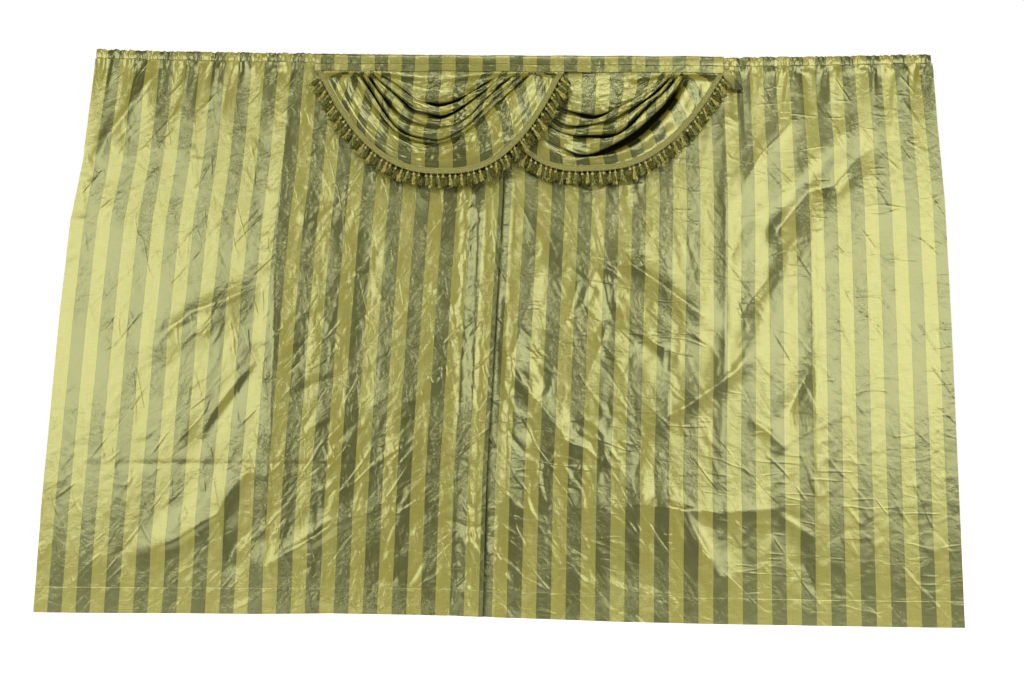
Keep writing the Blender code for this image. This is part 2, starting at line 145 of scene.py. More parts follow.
def cloth(name, x, y, z, u, v, material, thick=SILK_THICK, closed=False, gap=None):
    down, across = x.shape
    faces = grid_faces(down, across, closed)
    points = np.stack([x, y, z], -1).reshape(-1, 3)
    piece = link_mesh(name, points.tolist(), faces.tolist(), material)
    layer = piece.data.uv_layers.new(name="cloth")
    flat = np.stack([u, v], -1).reshape(-1, 2)[faces.reshape(-1)]
    if closed:
        flat = flat.reshape(-1, 4, 2)
        seam = flat[:, :, 1].max(1) - flat[:, :, 1].min(1) > 0.5 * (v.max() - v.min())
        flat[seam, :, 1] = np.where(flat[seam, :, 1] < v.mean(), v.max(), flat[seam, :, 1])
        flat = flat.reshape(-1, 2)
    layer.data.foreach_set("uv", flat.astype(np.float32).reshape(-1))
    # Painted shade: the gap map says how far each point is darkened, as if deep in a gap
    if gap is not None:
        deep = np.stack([gap, 0 * gap], -1).reshape(-1, 2)[faces.reshape(-1)]
        layer = piece.data.uv_layers.new(name="gap")
        layer.data.foreach_set("uv", deep.astype(np.float32).reshape(-1))
    if thick:
        solid = piece.modifiers.new("Silk thickness", "SOLIDIFY")
        solid.thickness = thick
        solid.offset = 0.0
    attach(piece, "root")
    print(name, "grid", down, "by", across)
    return piece


# %% [markdown]
# ## Materials from nodes
# A photograph could colour the cloth, but a woven pattern is simple enough to work out
# from its sizes, and then it is sharp from any distance. These helpers place a node, join
# it, reckon with it and read one of the cloth's maps.

# %% Nodes in few words
def make_material(name, roughness, **sockets):
    """A material and its shader; a socket's name is written with _ for each space."""
    mat = bpy.data.materials.new(name)
    mat.use_nodes = True
    shader = mat.node_tree.nodes["Principled BSDF"]
    shader.inputs["Roughness"].default_value = roughness
    for key, value in sockets.items():
        shader.inputs[key.replace("_", " ")].default_value = value
    return mat, shader


def add_node(mat, kind, **values):
    made = mat.node_tree.nodes.new(kind)
    for key, value in values.items():
        if hasattr(made, key):
            setattr(made, key, value)
        else:
            made.inputs[key.replace("_", " ")].default_value = value
    return made


def join(mat, source, target):
    mat.node_tree.links.new(source, target)


def calc(mat, operation, first, second=None, third=None):
    made = add_node(mat, "ShaderNodeMath", operation=operation)
    for slot, value in enumerate((first, second, third)):
        if isinstance(value, (int, float)):
            made.inputs[slot].default_value = value
        elif value is not None:
            join(mat, value, made.inputs[slot])
    return made.outputs[0]


def blend_colour(mat, factor, first, second, mode="MIX"):
    made = add_node(mat, "ShaderNodeMix", data_type="RGBA", blend_type=mode)
    for slot, value in ((0, factor), (6, first), (7, second)):
        if isinstance(value, (int, float, tuple)):
            made.inputs[slot].default_value = value
        else:
            join(mat, value, made.inputs[slot])
    return made.outputs[2]


def stepped(mat, value, low, high, out_low=0.0, out_high=1.0):
    made = add_node(mat, "ShaderNodeMapRange", interpolation_type="SMOOTHSTEP")
    join(mat, value, made.inputs["Value"])
    keys = ("From Min", "From Max", "To Min", "To Max")
    for key, number in zip(keys, (low, high, out_low, out_high)):
        made.inputs[key].default_value = number
    return made.outputs["Result"]


# %% Patterns, maps and bumps
def mapped(mat, place, scale, turn=0.0, kind="TEXTURE"):
    made = add_node(mat, "ShaderNodeMapping", vector_type=kind)
    join(mat, place, made.inputs["Vector"])
    made.inputs["Rotation"].default_value = (0.0, 0.0, turn)
    made.inputs["Scale"].default_value = scale
    return made.outputs["Vector"]


def pattern(mat, place, output="Fac", kind="ShaderNodeTexNoise", **values):
    made = add_node(mat, kind, **values)
    join(mat, place, made.inputs["Vector"])
    return made.outputs[output]


def read_map(mat, name):
    """A map of the piece, and its two parts."""
    place = add_node(mat, "ShaderNodeUVMap", uv_map=name).outputs["UV"]
    parts = add_node(mat, "ShaderNodeSeparateXYZ")
    join(mat, place, parts.inputs[0])
    return place, parts.outputs["X"], parts.outputs["Y"]


def bumped(mat, shader, height, strength=1.0, distance=1.0):
    bump = add_node(mat, "ShaderNodeBump", Strength=strength, Distance=distance)
    join(mat, height, bump.inputs["Height"])
    join(mat, bump.outputs["Normal"], shader.inputs["Normal"])


# %% [markdown]
# ## Striped taffeta
# The real cloth is a crisp silk with gold and sage stripes 61 mm wide. Its colour is in
# the warp, so the stripe is read from the cloth map. Its gloss has one tint for both
# colours: where a lamp is mirrored both go pale gold, and elsewhere the sage turns dark.
# A strong tinted reflection on a dark colour gives just that. Wrinkles finer than the
# mesh are bump: thin creases, small slack patches and flecks, all in the cloth's slant.

# %% Wrinkles too fine for the mesh
STIR_HIGH, PATCH_HIGH, FLECK_HIGH = 0.0048, 0.0016, 0.0013
LONG_HIGH, CROSS_HIGH, SLUB_HIGH = 0.0022, 0.0012, 0.00012
PATCH_SIZE = (1 / 20.0, 1 / 44.0, 1.0)


def ridges(mat, place, lean, long_way, short_way, sharp):
    """Long thin creases in one slant: lines where a stretched noise passes its middle."""
    turned = mapped(mat, place, (1 / long_way, 1 / short_way, 1.0), lean)
    field = pattern(mat, turned, Scale=1.0, Detail=1.5, Roughness=0.5, Distortion=0.3)
    off = calc(mat, "ABSOLUTE", calc(mat, "SUBTRACT", field, 0.5))
    line = stepped(mat, off, 0.0, sharp, 1.0, 0.0)
    broken = pattern(mat, place, Scale=7.0, Detail=1.0)
    return calc(mat, "MULTIPLY", line, stepped(mat, broken, 0.44, 0.60, -0.25, 1.0))


def wrinkle_height(mat, place, gold, lean, amount):
    """Height in metres of the small wrinkles, less of them on the gold."""
    stir = add_node(mat, "ShaderNodeTexNoise", Scale=11.0, Detail=3.0, Roughness=0.55)
    stir.inputs["Distortion"].default_value = 0.8
    join(mat, place, stir.inputs["Vector"])
    warped = blend_colour(mat, 0.10, place, stir.outputs["Color"], "ADD")
    slanted = mapped(mat, warped, PATCH_SIZE, lean)
    facets = pattern(mat, slanted, "Distance", "ShaderNodeTexVoronoi", Scale=1.0)
    flecks = pattern(mat, slanted, Scale=4.4, Detail=2.5, Roughness=0.6, Distortion=0.6)
    calm = pattern(mat, place, Scale=3.6, Detail=1.0)
    share = stepped(mat, calm, 0.38, 0.62, 0.20, 1.3)
    share = calc(mat, "MULTIPLY", share, stepped(mat, gold, 0.0, 1.0, 1.0, 0.62))
    fine = calc(mat, "MULTIPLY", facets, PATCH_HIGH * amount)
    fine = calc(mat, "MULTIPLY_ADD", flecks, FLECK_HIGH * amount, fine)
    total = calc(mat, "MULTIPLY", fine, share)
    for height, part in (
        (stir.outputs["Fac"], STIR_HIGH),
        (ridges(mat, place, lean, 1.7, 8.0, 0.050), LONG_HIGH),
        (ridges(mat, place, lean + 0.9, 3.0, 13.0, 0.060), CROSS_HIGH),
    ):
        total = calc(mat, "MULTIPLY_ADD", height, part * amount, total)
    return total


# %% The silk
STRIPE = 0.061
GOLD = (0.280, 0.248, 0.046, 1.0)
SAGE = (0.036, 0.038, 0.007, 1.0)
# Near-black colour of the painted shade deep in a gap
PAINTED_GAP_SHADE = (0.012, 0.012, 0.003, 1.0)
GLOSS_TINT = (0.97, 1.0, 0.52, 1.0)
SLUB_SIZE, THREAD_SIZE = (22.0, 420.0, 1.0), (330.0, 3.0, 1.0)
HEM_GROOVE, HEM_GROOVE_WIDE = 0.0005, 0.004


def silk(name, lean=0.9, rough=0.29, hem_at=None, amount=1.0, calm=None, painted_shade=False):
    """Striped silk. A gold stripe starts where u is 0, and calm says where it lies smooth."""
    mat, shader = make_material(name, rough, IOR=2.6, Specular_Tint=GLOSS_TINT)
    place, u, v = read_map(mat, "cloth")
    turns = calc(mat, "MULTIPLY", calc(mat, "SUBTRACT", u, STRIPE / 2), 0.5 / STRIPE)
    wave = calc(mat, "ABSOLUTE", calc(mat, "SUBTRACT", calc(mat, "FRACT", turns), 0.5))
    gold = stepped(mat, wave, 0.245, 0.255)
    slubs = pattern(mat, mapped(mat, place, SLUB_SIZE, kind="POINT"), Scale=1.0, Detail=3.0)
    threads = pattern(mat, mapped(mat, place, THREAD_SIZE, kind="POINT"), Scale=1.0, Detail=2.0)
    uneven = stepped(mat, slubs, 0.30, 0.72, 0.84, 1.14)
    uneven = calc(mat, "MULTIPLY", uneven, stepped(mat, threads, 0.3, 0.7, 0.92, 1.08))
    grey = add_node(mat, "ShaderNodeCombineColor")
    for slot in range(3):
        join(mat, uneven, grey.inputs[slot])
    colour = blend_colour(mat, gold, SAGE, GOLD)
    # Painted shade in gaps: the gap map blends the colour towards near black, roughens it and makes
    # it metallic, so the gloss goes dark too
    if painted_shade:
        deep = read_map(mat, "gap")[1]
        colour = blend_colour(mat, deep, colour, PAINTED_GAP_SHADE)
        join(mat, stepped(mat, deep, 0.1, 0.9, rough, 0.85), shader.inputs["Roughness"])
        join(mat, deep, shader.inputs["Metallic"])
    colour = blend_colour(mat, 1.0, colour, grey.outputs[0], "MULTIPLY")
    join(mat, colour, shader.inputs["Base Color"])
    height = wrinkle_height(mat, place, gold, lean, amount)
    if calm:
        height = calc(mat, "MULTIPLY", height, stepped(mat, u, *calm, 1.0, 0.55))
    height = calc(mat, "MULTIPLY_ADD", slubs, SLUB_HIGH, height)
    if hem_at is not None:
        off = calc(mat, "ABSOLUTE", calc(mat, "SUBTRACT", v, hem_at))
        groove = stepped(mat, off, 0.0, HEM_GROOVE_WIDE)
        height = calc(mat, "MULTIPLY_ADD", groove, HEM_GROOVE, height)
    bumped(mat, shader, height)
    return mat


# %% [markdown]
# ## Camera
# The set was photographed from a little below its middle, looking up by some seven
# degrees. Settling the camera first lets each piece be judged as it is made.

# %% Camera
EYE = Vector((0.201, -4.851, -1.887))
PITCH, YAW, ROLL = math.radians(7.27), math.radians(-1.46), math.radians(0.84)
camera_data = bpy.data.cameras.new("view")
camera_data.lens = 40.0
camera = bpy.data.objects.new("view", camera_data)
bpy.context.scene.collection.objects.link(camera)
camera.matrix_world = (
    Matrix.Translation(EYE)
    @ Matrix.Rotation(-YAW, 4, "Z")
    @ Matrix.Rotation(math.pi / 2 + PITCH, 4, "X")
    @ Matrix.Rotation(ROLL, 4, "Z")
)
bpy.context.scene.camera = camera
bpy.context.scene.view_settings.view_transform = "Standard"
print("camera at", tuple(round(c, 2) for c in EYE))

# %% [markdown]
# ## Lamps, air and floor
# Silk shows what it mirrors. Two tall soft lamps stand left and right, so the outer thirds
# mirror them and shine, and the middle stays deep. A small one above picks out the swags'
# crests. The air gives a weak yellowish fill. The floor glows to the eye, and else only
# behind the set, so it doesn't light the silk from in front.

# %% Lamps
LAMPS = [
    # name, place, what it faces, width, height, watts
    ("lamp_left", (-4.25, -4.4, -0.35), (-4.25, 0.0, -0.35), 4.85, 3.7, 151),
    ("lamp_right", (3.65, -4.4, -0.35), (3.65, 0.0, -0.35), 5.2, 3.2, 151),
    ("lamp_top", (0.1, -3.2, 2.7), (0.1, 0.0, -0.25), 3.0, 1.0, 44),
    ("lamp_back", (0.0, 4.0, 1.0), (0.0, 0.0, -1.2), 3.0, 2.0, 60),
]
for name, place, aim, wide, tall, watts in LAMPS:
    data = bpy.data.lights.new(name, "AREA")
    data.shape = "RECTANGLE"
    data.size, data.size_y, data.energy, data.color = wide, tall, watts, (1.0, 0.99, 0.95)
    lamp = bpy.data.objects.new(name, data)
    lamp.location = place
    lamp.rotation_euler = (Vector(aim) - Vector(place)).to_track_quat("-Z", "Y").to_euler()
    lamp.visible_camera = False
    bpy.context.scene.collection.objects.link(lamp)
print("lamps:", len(LAMPS))

# %% Air and floor
world = bpy.data.worlds.new("studio")
bpy.context.scene.world = world
world.use_nodes = True
seen = world.node_tree.nodes["Background"]
seen.inputs["Color"].default_value = (1.0, 1.0, 1.0, 1.0)
seen.inputs["Strength"].default_value = 1.0
fill = add_node(world, "ShaderNodeBackground", Color=(1.0, 0.99, 0.60, 1.0), Strength=0.27)
choice = add_node(world, "ShaderNodeMixShader")
eye_ray = add_node(world, "ShaderNodeLightPath").outputs["Is Camera Ray"]
for slot, source in enumerate((eye_ray, fill.outputs[0], seen.outputs[0])):
    join(world, source, choice.inputs[slot])
join(world, choice.outputs[0], world.node_tree.nodes["World Output"].inputs["Surface"])
bpy.ops.object.select_all(action="DESELECT")
bpy.ops.mesh.primitive_plane_add(size=24.0, location=(0.0, 2.0, -2.62))
floor = bpy.context.object
floor.name = "floor"
pale, pale_shader = make_material(
    "pale_floor", 0.9, Base_Color=(0.50, 0.50, 0.49, 1.0), Emission_Color=(1.0, 1.0, 1.0, 1.0)
)
floor_parts = add_node(pale, "ShaderNodeSeparateXYZ")
join(pale, add_node(pale, "ShaderNodeTexCoord").outputs["Object"], floor_parts.inputs[0])
glow = stepped(pale, floor_parts.outputs["Y"], -2.85, -2.55)
straight = add_node(pale, "ShaderNodeLightPath").outputs["Is Camera Ray"]
join(pale, calc(pale, "MAXIMUM", glow, straight), pale_shader.inputs["Emission Strength"])
floor.data.materials.append(pale)
print("world and floor are lit")

# %% [markdown]
# ## The panels' outline
# Each panel hangs between an uneven top line and a nearly level hem, and its sides spread
# a little towards the floor, because the top is gathered. A plane could be cut to shape,
# but the same short tables as the solids' make the fine cloth lie on them.

# %% Outline tables
TOP_LINE = [
    # x, z
    (-1.800, 0.018), (-1.470, 0.009), (-0.840, 0.003), (0.030, -0.003), (0.950, -0.007),
    (1.330, -0.002), (1.680, 0.007), (1.900, 0.014),
]
HEM_LINE = [
    # x, z
    (-1.924, -2.452), (-1.000, -2.443), (-0.668, -2.434), (-0.100, -2.436), (0.540, -2.449),
    (1.360, -2.451), (1.964, -2.448),
]
LEFT_SIDE = [
    # z, x
    (-2.450, -1.924), (-2.025, -1.919), (-1.210, -1.895), (-0.760, -1.873), (-0.490, -1.835),
    (-0.076, -1.808), (0.050, -1.800),
]
RIGHT_SIDE = [
    # z, x
    (-2.450, 1.964), (-1.210, 1.953), (-0.640, 1.942), (0.050, 1.900),
]
PARTING = [
    # z, x
    (-2.450, -0.028), (-1.850, -0.021), (-1.250, 0.003), (-0.656, 0.028), (0.050, 0.036),
]
POCKET_HEIGHT, POCKET_DEPTH = 0.042, 0.018
LAP = 0.024
FALL = 2.45  # about, from the top line to the hem
FLAT_LEFT, FLAT_RIGHT = 31.30 * STRIPE, 32.50 * STRIPE
U_LEFT, U_RIGHT = (30.58 + 0.72) * STRIPE, -0.62 * STRIPE
FLAT_DROP = 2.44
HEM_UP = 0.108
CLOSER = 1.2  # columns lie closer together towards the parting
print("flat widths", round(FLAT_LEFT, 3), round(FLAT_RIGHT, 3), "drop", FLAT_DROP)


# %% Places on a panel
def panel_places(left, down, across):
    """Grid of x and z of a panel, with the flat cloth's own u and v."""
    share = np.linspace(0, 1, down)[:, None]
    part = np.linspace(0, 1, across)[None, :]
    part = 1 - (1 - part) ** CLOSER if left else part**CLOSER
    z = -FALL * share + 0 * part
    for _ in range(4):
        inner = look_up(PARTING, z)
        if left:
            outer = look_up(LEFT_SIDE, z)
            x = outer + (inner - outer) * part
        else:
            outer = look_up(RIGHT_SIDE, z)
            hidden = inner - LAP * smooth((-0.06 - z) / 0.5)
            x = hidden + (outer - hidden) * part
        top = look_up(TOP_LINE, x) - POCKET_HEIGHT - 0.0005
        z = top + (look_up(HEM_LINE, x) - top) * share
    full = FLAT_LEFT if left else FLAT_RIGHT
    u = (x - inner) * full / np.abs(outer - inner) + (U_LEFT if left else U_RIGHT)
    v = -FLAT_DROP * share + 0 * part
    return x, z, u, v, top, inner


# %% [markdown]
# ## Main folds and creases
# Crisp silk keeps every crease it gets. The main ones are listed, a row each: a
# line through a few places, how wide it is and how far it stands out (below 0, in). A
# crease has a sharp crest, and one flank is steeper than the other.

# %% Main folds, as in the solids
FOLDS_LEFT = [
    # x1, z1, x2, z2, reach, out
    (-1.480, -0.065, -1.750, -0.480, 0.060, 0.017),
    (-1.356, -0.073, -1.636, -0.375, 0.055, -0.015),
    (-1.014, -1.035, -1.455, -1.320, 0.070, 0.022),
    (-1.001, -1.354, -1.250, -1.710, 0.060, -0.019),
    (-1.027, -1.835, -1.440, -2.185, 0.065, 0.022),
    (-1.100, -2.230, -0.946, -2.036, 0.055, -0.017),
    (-0.938, -2.240, -0.560, -2.030, 0.060, 0.017),
    (-0.932, -0.150, -0.956, -2.300, 0.070, 0.019),
    (-0.580, -0.800, -0.540, -2.000, 0.090, -0.014),
    (-1.640, -0.700, -1.700, -2.200, 0.110, 0.014),
    (-0.075, -0.650, -0.100, -2.440, 0.022, 0.017),
    (-0.125, -0.650, -0.160, -2.440, 0.026, -0.014),
]
FOLDS_RIGHT = [
    # x1, z1, x2, z2, reach, out
    (1.582, -0.438, 1.230, -0.770, 0.065, -0.027),
    (1.230, -0.770, 1.058, -1.180, 0.065, -0.024),
    (1.500, -0.350, 1.080, -0.900, 0.060, 0.013),
    (1.303, -0.277, 1.016, -0.670, 0.055, 0.009),
    (0.544, -0.896, 0.913, -1.167, 0.060, 0.017),
    (0.527, -1.180, 0.733, -1.350, 0.055, -0.015),
    (0.715, -1.603, 1.099, -1.312, 0.065, 0.020),
    (1.357, -1.373, 1.247, -1.588, 0.055, -0.015),
    (0.640, -1.924, 0.990, -2.260, 0.065, 0.019),
    (0.290, -1.984, 1.254, -1.969, 0.060, 0.010),
    (0.026, -1.300, 0.330, -1.710, 0.050, 0.017),
    (1.208, -1.995, 1.360, -2.313, 0.060, -0.015),
    (0.160, -1.000, 0.065, -1.960, 0.045, 0.024),
    (1.372, -0.420, 1.372, -2.380, 0.080, 0.012),
    (0.055, -0.638, 0.058, -1.185, 0.085, 0.016),
    (0.058, -1.185, 0.043, -1.574, 0.080, 0.014),
]


def main_folds(x, z, folds):
    total = np.zeros_like(x)
    for x1, z1, x2, z2, reach, out in folds:
        dx, dz = x2 - x1, z2 - z1
        along = np.clip(((x - x1) * dx + (z - z1) * dz) / (dx * dx + dz * dz), 0, 1)
        gap = np.hypot(x - x1 - along * dx, z - z1 - along * dz)
        total += out * np.exp(-((gap / reach) ** 2))
    return total


# %% Creases, listed one by one
CREASES_LEFT = [
    # wide, out, places
    (0.016, 0.008, [(-1.483, -0.065), (-1.580, -0.172), (-1.729, -0.394), (-1.767, -0.513)]),
    (0.014, 0.007, [(-1.356, -0.073), (-1.457, -0.208), (-1.525, -0.278), (-1.636, -0.375)]),
    (0.020, -0.006, [(-1.838, -0.436), (-1.780, -0.586)]),
    (0.020, -0.006, [(-1.835, -0.568), (-1.818, -0.757)]),
    (0.018, 0.010, [(-1.014, -1.035), (-1.151, -1.111), (-1.310, -1.166), (-1.436, -1.276),
        (-1.467, -1.342)]),
    (0.015, 0.009, [(-1.001, -1.354), (-1.088, -1.446), (-1.218, -1.629), (-1.256, -1.719)]),
    (0.014, -0.007, [(-0.944, -1.574), (-0.788, -1.473), (-0.626, -1.423)]),
    (0.020, 0.012, [(-1.027, -1.835), (-1.112, -1.950), (-1.155, -2.030), (-1.333, -2.146),
        (-1.442, -2.185)]),
    (0.012, 0.006, [(-1.155, -2.030), (-1.126, -2.205), (-1.099, -2.234)]),
    (0.013, 0.008, [(-1.100, -2.222), (-0.986, -2.099), (-0.946, -2.036)]),
    (0.012, 0.006, [(-1.090, -2.440), (-0.950, -2.351), (-0.870, -2.350)]),
    (0.013, 0.008, [(-0.938, -2.240), (-0.830, -2.167), (-0.656, -2.061)]),
    (0.012, -0.007, [(-0.778, -2.191), (-0.479, -2.003)]),
    (0.013, 0.008, [(-0.846, -2.201), (-0.673, -2.061), (-0.471, -1.995)]),
    (0.012, 0.006, [(-0.767, -2.373), (-0.459, -2.413), (-0.397, -2.375)]),
    (0.012, 0.007, [(-0.924, -0.210), (-0.954, -0.799), (-0.946, -1.672), (-0.956, -2.300)]),
    (0.010, -0.003, [(-1.678, -1.823), (-1.000, -1.815), (-0.392, -1.805)]),
]
CREASES_RIGHT = [
    # wide, out, places
    (0.022, -0.013, [(1.582, -0.438), (1.471, -0.582), (1.363, -0.600), (1.230, -0.770),
        (1.210, -0.964)]),
    (0.018, -0.011, [(1.210, -0.964), (1.102, -1.091), (1.058, -1.166)]),
    (0.016, 0.010, [(1.303, -0.277), (1.237, -0.364), (1.166, -0.432), (1.016, -0.670)]),
    (0.010, 0.005, [(1.740, -0.056), (1.731, -0.374)]),
    (0.010, -0.006, [(1.504, -0.067), (1.496, -0.407)]),
    (0.010, 0.006, [(1.007, -0.197), (0.998, -1.175), (0.962, -1.940)]),
    (0.009, 0.005, [(1.370, -0.421), (1.377, -1.641), (1.371, -2.386)]),
    (0.015, 0.010, [(0.544, -0.896), (0.742, -1.043), (0.913, -1.167)]),
    (0.012, 0.007, [(0.362, -0.844), (0.535, -0.988)]),
    (0.012, -0.008, [(0.470, -0.962), (0.510, -1.193), (0.553, -1.219)]),
    (0.014, 0.009, [(0.527, -1.180), (0.733, -1.299), (0.728, -1.415)]),
    (0.010, 0.006, [(0.797, -1.208), (0.904, -1.254)]),
    (0.015, 0.010, [(0.715, -1.603), (0.830, -1.542), (1.021, -1.403), (1.099, -1.312)]),
    (0.014, -0.008, [(1.357, -1.373), (1.313, -1.455), (1.247, -1.588)]),
    (0.014, 0.009, [(0.026, -1.316), (0.166, -1.504), (0.330, -1.710)]),
    (0.013, 0.007, [(0.459, -2.266), (0.539, -2.310), (0.713, -2.340)]),
    (0.015, 0.010, [(0.660, -1.924), (0.819, -1.992), (0.951, -2.250), (1.013, -2.265)]),
    (0.014, 0.006, [(0.290, -1.984), (0.640, -1.965), (0.930, -1.990), (1.254, -1.969)]),
    (0.013, 0.007, [(1.208, -1.995), (1.364, -2.096)]),
    (0.012, -0.007, [(1.309, -2.166), (1.360, -2.313)]),
    (0.014, 0.008, [(1.087, -1.598), (1.160, -1.640), (1.245, -1.727)]),
    (0.007, 0.006, [(0.378, -0.626), (0.424, -0.706), (0.482, -0.936), (0.510, -1.180)]),
    (0.006, 0.004, [(0.444, -0.923), (0.535, -0.992)]),
    (0.006, 0.005, [(0.555, -0.918), (0.609, -0.957), (0.669, -0.995)]),
    (0.007, 0.005, [(0.035, -1.083), (0.085, -1.205), (0.114, -1.162)]),
    (0.006, 0.004, [(0.145, -1.192), (0.236, -1.233), (0.436, -1.316)]),
    (0.008, -0.006, [(0.026, -1.307), (0.105, -1.427), (0.186, -1.529)]),
    (0.008, 0.005, [(0.362, -1.016), (0.342, -1.095), (0.315, -1.183)]),
    (0.010, 0.007, [(0.495, -1.181), (0.455, -1.311), (0.383, -1.484)]),
    (0.018, 0.011, [(0.160, -1.066), (0.082, -1.341), (0.062, -1.701), (0.066, -1.953)]),
]
print("creases by hand:", len(CREASES_LEFT), "left,", len(CREASES_RIGHT), "right")


def crease(total, x, z, wide, out, places, steep=2.4):
    """Add one crease: sharp crest, one flank longer, fading out at both ends."""
    line = np.array(places)
    steps = np.hypot(*np.diff(line, axis=0).T)
    ends = np.concatenate([[0.0], np.cumsum(steps)])
    room = 7 * wide * steep
    low, high = line.min(0) - room, line.max(0) + room
    near = (x > low[0]) & (x < high[0]) & (z > low[1]) & (z < high[1])
    if not near.any():
        return
    px, pz = x[near], z[near]
    best = np.full(px.shape, 9.0)
    side = np.ones(px.shape)
    at = np.zeros(px.shape)
    for k, (a, b) in enumerate(zip(line[:-1], line[1:])):
        dx, dz = b - a
        along = np.clip(((px - a[0]) * dx + (pz - a[1]) * dz) / (dx * dx + dz * dz), 0, 1)
        ox, oz = px - a[0] - along * dx, pz - a[1] - along * dz
        gap = np.hypot(ox, oz)
        closer = gap < best
        best = np.where(closer, gap, best)
        side = np.where(closer, np.sign(ox * dz - oz * dx), side)
        at = np.where(closer, (ends[k] + along * steps[k]) / ends[-1], at)
    flank = wide * np.where(side > 0, steep, 1.0)
    fade = np.clip(1 - (2 * at - 1) ** 4, 0, 1)
    total[near] += out * fade * np.exp(-((np.sqrt(best**2 + 1e-5) / flank) ** 1.25))


# %% [markdown]
# ## Crumples
# Between the main creases the silk is full of short ones, most of them slanting: down to
# the left on the left panel and again at the far right, down to the right next to the
# parting. Too many to place by hand, they are scattered from a seed, in that slant, and
# stand on slack patches.

# %% Slanting short creases and slack patches
CREASE_COUNT = 430
CREASE_LONG, CREASE_WIDE, CREASE_OUT = (0.06, 0.34), (0.0032, 0.0085), (0.0014, 0.0054)
SLACK_OUT, FACET_OUT, SWELL_OUT = 0.0046, 0.0018, 0.0038


def leans_left(x):
    return (x < -0.15) | (x > 0.98)


def slant(x, rng):
    """Direction of a short crease at x, in radians from level."""
    base = math.radians(-128 if leans_left(x) else -52)
    if rng.random() < 0.26:
        base = math.radians(-90)
    return base + rng.normal(0.0, 0.30)


def crumples(x, z, seed):
    rng = np.random.default_rng(seed)
    bent_x = x + 0.020 * noise(x, z, 0.16, seed) + 0.008 * noise(x, z, 0.05, seed + 1)
    bent_z = z + 0.020 * noise(x, z, 0.15, seed + 2) + 0.008 * noise(x, z, 0.05, seed + 3)
    total = np.zeros_like(x)
    low, high = x.min(), x.max()
    for _ in range(CREASE_COUNT):
        cx = rng.uniform(low, high)
        cz = -FALL * rng.random() ** 0.85
        way = slant(cx, rng)
        half = 0.5 * rng.uniform(*CREASE_LONG)
        bow = rng.normal(0.0, 0.16)
        dx, dz = half * math.cos(way), half * math.sin(way)
        middle = (cx - dz * bow, cz + dx * bow)
        out = rng.choice([1.0, 1.0, -1.0]) * rng.uniform(*CREASE_OUT)
        wide = rng.uniform(*CREASE_WIDE)
        crease(total, bent_x, bent_z, wide, out, [(cx - dx, cz - dz), middle, (cx + dx, cz + dz)])
    lean = np.where(leans_left(x), 1.0, -1.0)
    slack = patches(bent_x - 0.45 * lean * bent_z, bent_z * 0.55, 0.105, seed + 7)
    facets = patches(bent_x, bent_z * 0.8, 0.048, seed + 11)
    swell = noise(x, z, 0.24, seed + 13)
    return total + (SLACK_OUT * slack + FACET_OUT * facets + SWELL_OUT * swell)


def crumple_share(x, z, left):
    """How crumpled the silk is from place to place."""
    share = 0.80 + 0.35 * noise(x, z, 0.45, 3 if left else 4)
    share *= 0.55 + 0.45 * smooth((-0.25 - z) / 0.7)
    share *= 1 - 0.64 * smooth((np.abs(x + 0.08) - 0.67) / 0.28)
    return np.clip(share, 0.2, 1.25)


# %% [markdown]
# ## Two panels
# Under its heading each panel is puckered by the gathers, behind the valance it stays flat,
# and at the parting the left panel laps over the right one, with narrow standing pleats.
# The depths of all of these are added up, so each can be changed by itself.

# %% Gathers
RUCHE = 0.0056
FINE_OUT, LONG_OUT, SLOW_OUT = 0.0056, 0.0090, 0.006
GATHER_PITCH = 0.155


def under_valance(x):
    return smooth((x + 0.86) / 0.05) * smooth((1.04 - x) / 0.05)


def ruching(x, lift, seed):
    """Narrow upright puckers of the gathered heading, from -1 to 1; lift is 0 at its foot."""
    fine = 1 - 2 * np.abs(noise(x + 0.003 * lift, 0.011 * lift, 0.0115, seed))
    finer = noise(x, 0.006 * lift, 0.0060, seed + 1)
    broad = 1 - 2 * np.abs(noise(x, 0.02 * lift, 0.026, seed + 2))
    return 0.46 * fine + 0.14 * finer + 0.40 * broad


def puckers(x, down, seed):
    """Gathers under the heading: fine ones, and longer ones that slant and fade as they like."""
    fine = 1 - 2 * np.abs(noise(x + 0.15 * down, 0 * x, 0.0235, seed))
    reach = 0.05 + 0.08 * (noise(x, 0 * x, 0.11, seed + 1) + 1) / 2
    total = FINE_OUT * fine * np.exp(-((down / reach) ** 1.3))
    ruche = RUCHE * ruching(x + 0.12 * down, 0 * x, seed + 50)
    total += ruche * np.exp(-((down / (0.35 * reach)) ** 1.2))
    aslant = (0.30 + 0.25 * noise(x, 0 * x, 0.35, seed + 2)) * down * np.where(x < 0, 1.0, -0.2)
    long_reach = 0.09 + 0.16 * (noise(x, 0 * x, 0.09, seed + 3) + 1) / 2
    ridge = 1 - 2 * np.abs(noise(x + aslant, 0 * x, 0.052, seed + 4))
    total += LONG_OUT * ridge * np.exp(-((down / long_reach) ** 1.6)) * smooth(down / 0.03)
    slow = np.sin(2 * np.pi * x / GATHER_PITCH + 1.7 * np.sin(3.1 * x))
    fade = np.exp(-((np.maximum(down - 0.05, 0) / 0.20) ** 2)) * smooth(down / 0.05)
    return (total + SLOW_OUT * slow * fade) * (0.25 + 0.75 * (1 - under_valance(x)))


# %% Depth of a panel
FLAT_OUT = 0.006  # no fold stands out further behind the valance
LEAD_OUT, UNDER_IN = 0.0075, 0.0045  # the left panel's edge, and what it laps over
SEWN_OUT = 0.0065


def behind_valance(x, z):
    inside = smooth((x + 0.90) / 0.10 + 0.5) * smooth((1.10 - x) / 0.10 + 0.5)
    return inside * smooth((z + 0.67) / 0.10 + 0.5)


